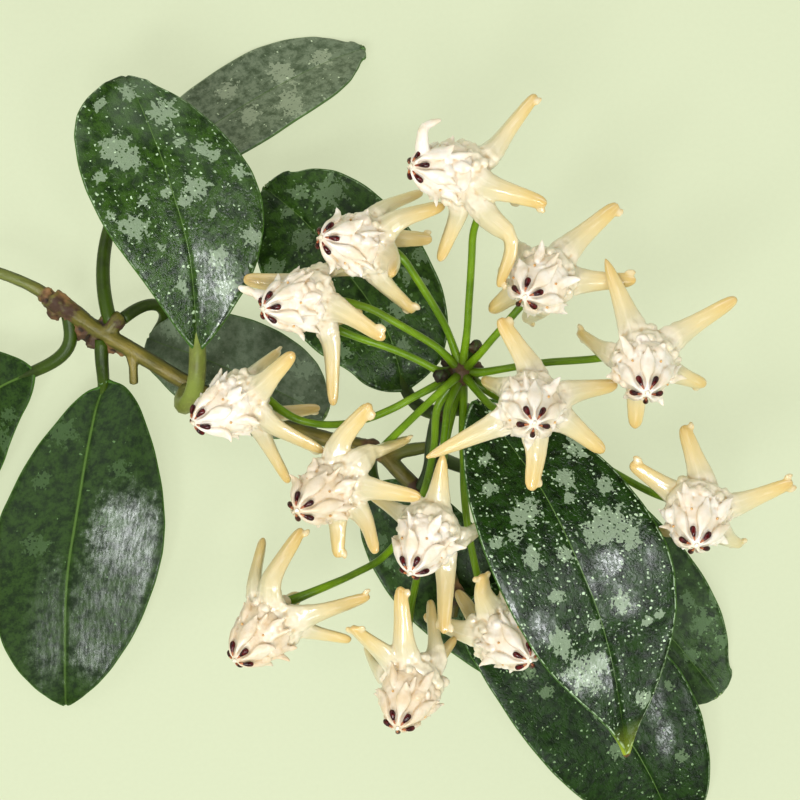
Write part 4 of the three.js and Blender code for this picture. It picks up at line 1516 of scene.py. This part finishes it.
def crown_body(place, draw):
    """The white wax of a crown as one skin."""
    turn = place["turn"]
    parts = [copied(core, "core", turn), *spurs_and_teeth(turn, draw)]
    for line in place["horns"]:
        root = line[-1] * 0.45 + on_axis(turn, 15) * 0.55
        path = smooth_line(np.vstack([root, line[::-1]]), PROFILE_POINTS)
        parts.append(bent(horn_unit, "horn", path, path - on_axis(turn, 12)))
    parts.extend(blobs_round(turn, draw))
    body = one_skin("crown body", parts, CROWN_VOXEL, passes=4)
    corners = corners_of(body)
    from_nose = np.linalg.norm(corners - on_axis(turn, 20), axis=1)
    lumps = [noise.fractal(Vector(corner) / LUMP_SIZE, 1.0, 2.0, 2) for corner in corners]
    lift(body, LUMP_HEIGHT * np.array(lumps) * np.clip(from_nose / MM / 5 - 0.6, 0, 1.4))
    return body


print("horn", len(horn_unit.data.polygons), "faces")

# %% Crowns
CROWN_FACES = 0.5
DOT_OUT = 5.05 * MM
DOT_HEIGHT = 13.1 * MM
DOT_SIZE = 0.3 * MM


def slotted(piece, number):
    """Gives all faces of a piece a material number, for when it is joined."""
    piece.data.materials.clear()
    dress(piece, CROWN_MATERIALS)
    piece.data.polygons.foreach_set("material_index", [number] * len(piece.data.polygons))
    return piece


def make_crown(number, draw):
    turn = flower_places[number]["turn"]
    body = crown_body(flower_places[number], draw)
    parts = [slotted(body, BODY), slotted(copied(star, "star", turn), STAR)]
    for i in range(SPUR_COUNT):
        crease = spun(turn, (i + 0.5) * FIFTH)
        size = Matrix.Diagonal((1, draw.uniform(0.92, 1.08), 1, 1))
        parts.append(slotted(copied(rim, "rim", crease @ size), RIM))
        parts.append(slotted(copied(drop, "drop", crease @ size), DROP))
        dot = Matrix.Translation((DOT_OUT, draw.uniform(-0.3, 0.3) * MM, DOT_HEIGHT))
        parts.append(slotted(copied(bump, "dot", crease @ dot @ Matrix.Scale(DOT_SIZE, 4)), DOT))
    crown = join("crown_" + number, parts)
    if number in WARM_FLOWERS:
        crown.data.materials[BODY] = warm_wax
    write_attribute(crown, "hollow", hollows(crown))
    apply(crown, "DECIMATE", ratio=CROWN_FACES)
    finish_piece(crown, "corona_" + number, "crown_wax")
    return crown


for number in FLOWERS:
    crown = make_crown(number, random.Random(int(number)))
print("a crown has", len(crown.data.polygons), "faces")


# %% [markdown]
# ## Flowers: the corolla
#
# Collar and petals grew as one, so their shapes are joined and remeshed into a single skin, which
# rounds off the creases between them. The petals are laid along the CAD's lines. Rolled margins
# show as round, glassy bumps where two petals meet, and as flat little rolls near some of the tips.

# %% Petal shapes
PETAL_RIDGE = 0.88
ROUND_PETAL = [
    (0, 3.2, 2.6), (0.13, 4.0, 3.0), (0.26, 3.55, 2.4), (0.42, 2.65, 1.75), (0.6, 2.2, 1.45),
    (0.78, 1.95, 1.3), (0.88, 1.7, 1.15), (0.95, 1.25, 0.95), (0.985, 0.8, 0.65), (1, 0.4, 0.35),
]
POINTED_PETAL = [
    (0, 3.2, 2.6), (0.13, 4.0, 3.0), (0.26, 3.4, 2.3), (0.42, 2.6, 1.7), (0.6, 2.05, 1.35),
    (0.78, 1.5, 1.1), (0.9, 0.95, 0.8), (0.97, 0.5, 0.45), (1, 0.2, 0.2),
]


def ridged(name, sections):
    """A petal with every third side drawn in, so that it has lengthwise ridges."""
    piece = grown(name, sections, sides=12)
    corners = corners_of(piece)
    turn = np.arctan2(corners[:, 1], corners[:, 0])
    share = 1 - (1 - PETAL_RIDGE) * (0.5 - 0.5 * np.cos(4 * turn))
    corners[:, :2] *= share[:, None]
    put_corners(piece, corners)
    return piece


round_petal = ridged("round petal", ROUND_PETAL)
pointed_petal = ridged("pointed petal", POINTED_PETAL)
neck_unit = grown("neck unit", [(0, 0.9, 0.9), (0.2, 1.5, 1.5), (0.6, 2.2, 2.2), (1, 3.4, 3.4)])
print("petal", len(round_petal.data.polygons), "faces")

# %% Petal lines
COLLAR_HEIGHT = 5.6 * MM
FAR_PETAL = 7.5 * MM
KINK_SMOOTHING = 20
PETAL_POINTS = 40
COLLAR_SHARE = 0.22


def petal_line(turn, tip_first):
    """A petal's line from inside the collar to its tip, and the direction in which it starts."""
    back, axis = np.array(turn.translation), np.array(turn.col[2].xyz)
    inward = tip_first[-1] - back
    out = inward - (inward @ axis) * axis
    reach = np.linalg.norm(out)
    out /= reach
    points = [back + axis * COLLAR_HEIGHT + out * 2.2 * MM]
    if reach > FAR_PETAL:
        points.append(back + axis * (COLLAR_HEIGHT - 0.6 * MM) + out * 6 * MM)
    line = smooth_line(np.vstack([points, tip_first[::-1]]), PETAL_POINTS)
    ease(line, KINK_SMOOTHING)
    return line, out


def reach_along(corners, lines):
    """0 on the collar, and from there to 1 at the tip of the nearest petal."""
    share = nearest_on(corners, lines)[1] / (PETAL_POINTS - 1)
    return np.clip((share - COLLAR_SHARE) / (1 - COLLAR_SHARE), 0, 1)


# %% Petals, and the bumps where they meet
POINTED_TIPS = ((430, 457), (605, 260))
TIP_REACH = 15
CURL_SHARE = 0.38
CURL_POINTS = (34, 37)
BEAD_SHARE = 0.45
SINUS_BEADS = ((6.9, 5.2, 1.2), (6.4, 3.2, 1.5), (6.6, 7.0, 1.0))


def petals_along(lines, axis, draw):
    """The petals, and the place, two directions and size of each rolled margin."""
    petals, curls = [], []
    for line in lines:
        tip = picture_place(line[-1:])[0]
        pointed = min(math.dist(tip, spot) for spot in POINTED_TIPS) < TIP_REACH
        petals.append(bent(pointed_petal if pointed else round_petal, "petal", line, axis))
        ahead = line[-1] - line[-4]
        beside = unit(np.cross(ahead, axis))
        for side in (-1, 1):
            if draw.random() < CURL_SHARE and not pointed:
                spot = line[draw.randint(*CURL_POINTS)] + beside * side * 1.65 * MM - axis * 0.3 * MM
                curls.append((spot, unit(ahead), beside, draw.uniform(0.7, 1.0) * MM))
    return petals, curls


def sinus_beads(turn, outs, draw):
    """Round bumps where two petals meet, though not everywhere."""
    flat = [turn.inverted().to_3x3() @ Vector(out) for out in outs]
    angles = sorted(math.atan2(out.y, out.x) for out in flat)
    for first, second in zip(angles, [*angles[1:], angles[0] + 2 * math.pi]):
        around = spun(turn, (first + second) / 2)
        for out, height, size in SINUS_BEADS:
            if draw.random() < BEAD_SHARE:
                aside = draw.uniform(-1.2, 1.2) * MM
                yield bump_at(around @ Vector((out * MM, aside, height * MM)), size * MM, draw)


def collar_bumps(turn, draw):
    """Bumps all round the collar's upper edge."""
    for i in range(2 * SPUR_COUNT):
        around = spun(turn, (i + draw.uniform(-0.3, 0.3)) * FIFTH / 2)
        spot = around @ Vector((draw.uniform(6.0, 6.7) * MM, 0, draw.uniform(6.6, 8.6) * MM))
        yield bump_at(spot, draw.uniform(0.8, 1.3) * MM, draw)


def curl_at(spot, ahead, beside, size):
    """A rolled margin: a flat ball that is longest along its petal."""
    columns = np.column_stack([ahead * 1.45, beside * 0.95, np.cross(ahead, beside) * 0.7]) * size
    return copied(bump, "curl", Matrix.Translation(spot) @ Matrix(columns.tolist()).to_4x4())


# %% Corollas
COROLLA_VOXEL = 0.3 * MM
COROLLA_FACES = 0.44
RIPPLE_HEIGHT = 0.36 * MM
RIPPLE_SIZE = 1.2 * MM
COLLAR = Matrix.Translation((0, 0, COLLAR_HEIGHT)) @ Matrix.Diagonal((7.4 * MM, 7.4 * MM, 4.1 * MM, 1))


def make_corolla(number, draw):
    place = flower_places[number]
    turn, seat = place["turn"], place["seat"]
    lines, outs = zip(*[petal_line(turn, line) for line in place["petals"]])
    inner = on_axis(turn, 3)
    neck = bent(neck_unit, "neck", smooth_line([seat, (seat + inner) / 2, inner], 8), turn.col[0].xyz)
    parts = [copied(bump, "collar", turn @ COLLAR), neck]
    petals, curls = petals_along(lines, np.array(turn.col[2].xyz), draw)
    parts.extend([*petals, *sinus_beads(turn, outs, draw), *collar_bumps(turn, draw)])
    parts.extend(curl_at(*curl) for curl in curls)
    corolla = one_skin("corolla_" + number + "_wax", parts, COROLLA_VOXEL, passes=5)
    corners = corners_of(corolla)
    reach = reach_along(corners, lines)
    lumps = [noise.noise(Vector(corner) / RIPPLE_SIZE) for corner in corners]
    lift(corolla, RIPPLE_HEIGHT * np.array(lumps) * np.clip(1 - 4 * reach, 0.08, 1))
    corners = corners_of(corolla)
    clear = np.zeros(len(reach))
    for spot, _, _, size in curls:
        apart = np.linalg.norm(corners - spot, axis=1)
        clear = np.maximum(clear, np.clip(1.8 - 1.2 * apart / size, 0, 1))
    write_attribute(corolla, "reach", reach)
    write_attribute(corolla, "clear", clear)
    write_attribute(corolla, "unrolled", along_tubes(corners, lines))
    write_attribute(corolla, "hollow", hollows(corolla))
    apply(corolla, "DECIMATE", ratio=COROLLA_FACES)
    finish_piece(corolla, "corolla_" + number, "petal_wax", PETAL_MATERIAL)
    return corolla


for number in FLOWERS:
    corolla = make_corolla(number, random.Random(100 + int(number)))
print("a corolla has", len(corolla.data.polygons), "faces")


# %% [markdown]
# ## Pedicels
#
# Each flower hangs on a smooth green stalk that widens a little at both ends. A pedicel node is
# rings of six corners: corners that are close together make a ring, and the rings are followed
# from the hub outwards. The line then goes on into the flower's back.

# %% Pedicel lines
RING = 6
RING_GAP = 1.2 * MM
hub = in_view(462, 372, HUB_HEIGHT / MM)
pedicels = {node: read_solid(node)[0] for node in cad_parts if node.startswith("pedicel")}


def ring_centres(corners):
    """The centres of the groups of six corners that lie close together."""
    left = set(range(len(corners)))
    centres = []
    while left:
        group, fresh = set(), {left.pop()}
        while fresh:
            group |= fresh
            apart = np.linalg.norm(corners[sorted(fresh)][:, None] - corners[None], axis=2).min(0)
            fresh = {i for i in left if apart[i] < RING_GAP}
            left -= fresh
        if len(group) == RING:
            centres.append(corners[sorted(group)].mean(0))
    return centres


def in_order(points, spot):
    """Points in the order in which they are met from a spot."""
    left, ordered = list(points), []
    while left:
        spot = left.pop(int(np.argmin([np.linalg.norm(point - spot) for point in left])))
        ordered.append(spot)
    return ordered


print(len(pedicels), "pedicels leave the hub at", hub.round(4))

# %% Pedicels
PEDICEL_POINTS = 80
PEDICEL_SECTIONS = [(0, 1.15), (0.08, 0.95), (0.2, 0.84), (0.8, 0.84), (0.93, 1.0), (1, 1.3)]
ROOT_FROM_HUB = 2.4 * MM
HIDDEN_END = (326, 325)


def pedicel_finish():
    green = Finish("pedicel green")
    cloud = green.noise(green.place(), 130)
    fine = green.noise(green.place(), 1300)
    tone = green.mix(cloud.between(0.3, 0.7), color(82, 116, 0), color(110, 144, 12))
    tone = green.mix(fine.between(0.55, 0.8) * 0.3, tone, color(140, 176, 70))
    tone = green.mix(green.attribute("foot").between(0.35, 1.0) * 0.8, tone, color(46, 56, 8))
    fixed = {"Roughness": 0.36, "Specular IOR Level": 0.35}
    return green.surface({"Base Color": tone}, fixed, fine, 0.04 * MM)


PEDICEL_MATERIAL = pedicel_finish()


def make_pedicel(node, corners):
    points = in_order(ring_centres(corners), hub)
    root = hub + unit(points[0] - hub) * ROOT_FROM_HUB
    if node[-2:] in flower_places:
        place = flower_places[node[-2:]]
        points.append(place["seat"] * 0.6 + on_axis(place["turn"], 2) * 0.4)
    else:
        end = corners[np.argmax(np.linalg.norm(corners - hub, axis=1))]
        points.extend([end, in_view(*HIDDEN_END, end[2] / MM)])
    line = smooth_line(np.vstack([root, points]), PEDICEL_POINTS)
    radii = np.interp(np.linspace(0, 1, PEDICEL_POINTS), *zip(*PEDICEL_SECTIONS)) * MM
    stalk = tube(node + "_stalk", line, radii)
    from_hub = np.linalg.norm(corners_of(stalk) - hub, axis=1) / MM
    write_attribute(stalk, "foot", np.clip(1.25 - from_hub / 8, 0, 1))
    finish_piece(stalk, node, "pedicel_green", PEDICEL_MATERIAL)
    return stalk


for node, corners in pedicels.items():
    stalk = make_pedicel(node, corners)
print("a pedicel has", len(stalk.data.polygons), "faces")


# %% [markdown]
# ## The woody stem and the flowering shoot
#
# The main stem is olive bark with brown, knobbly nodes where leaves grew. Its colour carries painted
# light and shade: lighter, with tan patches, where it faces up, dark where it faces down, and darker
# still in its hollows. The shoot is young and dark green, painted the same way, and ends in the hub:
# a brown, bumpy mass with a few blunt bracts. Tubes follow the CAD's routes, which are given as
# pixels across and down and a height in mm, with a radius at either end. Nodes are swellings with a
# radius each. Squashed balls make their knobs, a voxel remesh makes one skin of each stem, and noise
# along the tubes raises ridges.

# %% Routes
STEM_TUBES = [
    ([(58, 303, 20), (98, 330, 20), (140, 355, 20), (190, 385, 20), (255, 418, 20), (330, 440, 21),
      (375, 450, 22), (402, 474, 22), (418, 493, 22), (432, 530, 21), (445, 565, 19), (453, 592, 18),
      (450, 616, 17)], (2.0, 1.9)),
    ([(62, 306, 20), (42, 292, 20), (16, 279, 21), (-8, 271, 21), (-30, 266, 21)], (1.6, 1.25)),
    ([(52, 298, 20), (66, 308, 20), (84, 321, 20)], (2.7, 2.2)),
    ([(108, 331, 20), (116, 321, 20.5), (121, 317, 20)], (1.9, 1.9)),
    ([(103, 333, 20), (113, 326, 20), (120, 319, 20)], (2.0, 2.0)),
    ([(130, 350, 20), (133, 366, 20), (134, 384, 19)], (1.3, 1.0)),
    ([(385, 458, 22), (405, 451, 22), (434, 446, 22)], (1.8, 1.4)),
]
STEM_NODES = [(59, 303, 20.3, 2.5), (49, 297, 19.8, 2.2), (70, 312, 20.2, 2.2), (54, 314, 18.6, 1.7),
              (82, 331, 18.4, 2.5), (95, 341, 18.2, 2.6), (109, 346, 18.4, 2.1), (124, 350, 18.8, 1.7),
              (108, 323, 19.4, 2.1), (117, 322, 20.2, 1.8), (372, 449, 22, 2.7), (418, 493, 22, 3.0),
              (453, 592, 18, 2.8)]
SHOOT_TUBES = [
    ([(418, 493, 22), (429, 470, 26), (433, 440, 30), (440, 412, 34), (450, 392, 39), (462, 372, 43)],
     (1.5, 2.1)),
    ([(466, 366, 44), (472, 353, 47), (477, 344, 50)], (1.3, 0.9)),
    ([(456, 372, 44), (445, 374, 48), (437, 377, 51)], (1.4, 1.0)),
    ([(468, 370, 43), (482, 366, 43)], (1.5, 1.1)),
    ([(452, 362, 43), (443, 356, 44)], (1.4, 1.1)),
    ([(458, 364, 45), (455, 355, 47.5)], (1.3, 0.6)),
    ([(470, 379, 44), (479, 386, 46)], (1.3, 0.7)),
    ([(453, 381, 44), (447, 388, 45.5)], (1.3, 0.7)),
]
SHOOT_NODES = [(440, 411, 34, 2.3), (462, 372, 45.2, 3.6), (453, 377, 44, 2.7), (471, 368, 44, 2.6),
               (450, 367, 44, 2.3), (475, 347, 49, 1.4), (440, 376, 49.5, 1.6)]
print(len(STEM_TUBES), "tubes in the stem,", len(SHOOT_TUBES), "in the shoot")


# %% Stem shape
STEM_VOXEL = 0.3 * MM
STEM_FACES = 0.6
KNOBS_PER_NODE = 18
CRUST_HEIGHT = 0.22
FIBRES = (2.2, 2.2, 0.35)
LUMPS_PER_MM = 1.1


def knobs(centre, radius, draw):
    """Small squashed balls round a swelling."""
    for _ in range(KNOBS_PER_NODE):
        away = Vector((draw.gauss(0, 1), draw.gauss(0, 1), draw.gauss(0, 1))).normalized()
        spot = Vector(centre) + away * radius * draw.uniform(0.72, 0.92) * MM
        yield bump_at(spot, draw.uniform(0.4, 0.85) * MM, draw)


def grown_stem(name, tubes, nodes, ridge, draw):
    """One skin over tubes and knobs, with a place along its tubes at each corner."""
    lines, parts = [], []
    for route, (start, end) in tubes:
        lines.append(smooth_line([in_view(*spot) for spot in route], 12 * len(route)))
        parts.append(tube("stalk", lines[-1], np.linspace(start, end, len(lines[-1])) * MM))
    swellings = [(in_view(*spot), radius) for *spot, radius in nodes]
    for centre, radius in swellings:
        parts.append(bump_at(Vector(centre), radius * 0.9 * MM, draw))
        parts.extend(knobs(centre, radius, draw))
    stem = one_skin(name, parts, STEM_VOXEL, passes=4)
    corners = corners_of(stem)
    unrolled, crust = along_tubes(corners, lines), np.zeros(len(corners))
    for centre, radius in swellings:
        apart = np.linalg.norm(corners - centre, axis=1)
        crust = np.maximum(crust, 1.6 - apart / (radius * MM))
    crust = np.clip(crust, 0, 1)
    rough = np.array([noise.noise(Vector(place)) for place in unrolled * FIBRES])
    lumps = np.array([noise.noise(Vector(corner) / MM * LUMPS_PER_MM) for corner in corners])
    lift(stem, (ridge * rough + CRUST_HEIGHT * crust * lumps) * MM)
    write_attribute(stem, "crust", crust)
    # Which way each corner faces, for the painted light on top and the painted shade below.
    write_attribute(stem, "upper", corners_of(stem, "normal")[:, 2])
    write_attribute(stem, "hollow", hollows(stem))
    write_attribute(stem, "unrolled", unrolled)
    apply(stem, "DECIMATE", ratio=STEM_FACES)
    return stem


# %% Bark and young green
YOUNG_GREENS = color(46, 56, 10), color(102, 108, 46)
YOUNG_END = (-66 * MM, -57 * MM)
BRANCH_RIGHT = (20 * MM, 24 * MM)
BRANCH_ABOVE = (-8 * MM, -5 * MM)


def bark_finish(name, tan_and_painted_top_light, plain, dark, crust_dark, crust_pale, young=False):
    bark = Finish(name)
    lengthwise = bark.stretched(bark.attribute("unrolled", "Vector"), (5, 5, 0.3))
    fibres = bark.noise(lengthwise, 1.0, detail=4, roughness=0.6)
    patches = bark.noise(bark.place(), 90, detail=4)
    grain = bark.noise(bark.place(), 900, detail=4, roughness=0.65)
    # Painted light and shade: dark where the bark faces down, lighter where it faces up, and tan patches
    # only on top.
    upper = bark.attribute("upper") + (patches - 0.5) * 0.4
    tone = bark.mix(upper.between(0.05, 0.75), dark, plain)
    tone = bark.mix(upper.between(0.65, 0.98) * patches.between(0.3, 0.6), tone, tan_and_painted_top_light)
    if young:
        place = bark.parts(bark.place())
        at_left = 1 - place["X"].between(*YOUNG_END)
        at_branch = place["X"].between(*BRANCH_RIGHT) * place["Y"].between(*BRANCH_ABOVE)
        # The young green is painted the same way: darker below, lighter on top.
        fresh = bark.mix(upper.between(0.1, 0.85), *YOUNG_GREENS)
        tone = bark.mix(at_left.most(at_branch), tone, fresh)
    tone = bark.mix(fibres.between(0.5, 0.7) * 0.45, tone, dark)
    crust = (bark.attribute("crust") + (grain - 0.5) * 0.9).between(0.25, 0.6)
    tone = bark.mix(crust, tone, bark.mix(patches.between(0.42, 0.58), crust_dark, crust_pale))
    # Painted shade: much darker in the hollows between knobs and ridges.
    tone = bark.mix(bark.attribute("hollow").between(0.02, 0.14) * 0.7, tone, scaled(dark, 0.25))
    linked = {"Base Color": tone, "Roughness": 0.42 + crust * 0.25}
    return bark.surface(linked, {"Specular IOR Level": 0.35}, fibres * 0.5 + grain * 0.5, 0.15 * MM)


old_bark = bark_finish("stem bark", color(124, 110, 44), color(82, 78, 20), color(34, 36, 4),
                       color(64, 42, 26), color(150, 110, 66), young=True)
young_skin = bark_finish("shoot skin", color(66, 84, 24), color(36, 56, 12), color(20, 30, 8),
                         color(28, 18, 6), color(66, 46, 22))
stem = grown_stem("woody_stem", STEM_TUBES, STEM_NODES, 0.12, random.Random(7))
finish_piece(stem, "main_stem", "stem_bark", old_bark)
shoot = grown_stem("flowering_shoot_skin", SHOOT_TUBES, SHOOT_NODES, 0.06, random.Random(8))
finish_piece(shoot, "flowering_shoot", "shoot_green", young_skin)
print("stem", len(stem.data.polygons), "faces, shoot", len(shoot.data.polygons))

# %% The templates go
remove(scale_unit, *scales, tooth_unit, *teeth, core_unit, core, drop_unit, drop, rim_unit, rim,
       horn_unit, neck_unit, star, bump, round_petal, pointed_petal)

# %% [markdown]
# ## The last step
#
# The colours are shown through the Standard view transform.

# %% Finish
bpy.context.scene.view_settings.view_transform = "Standard"
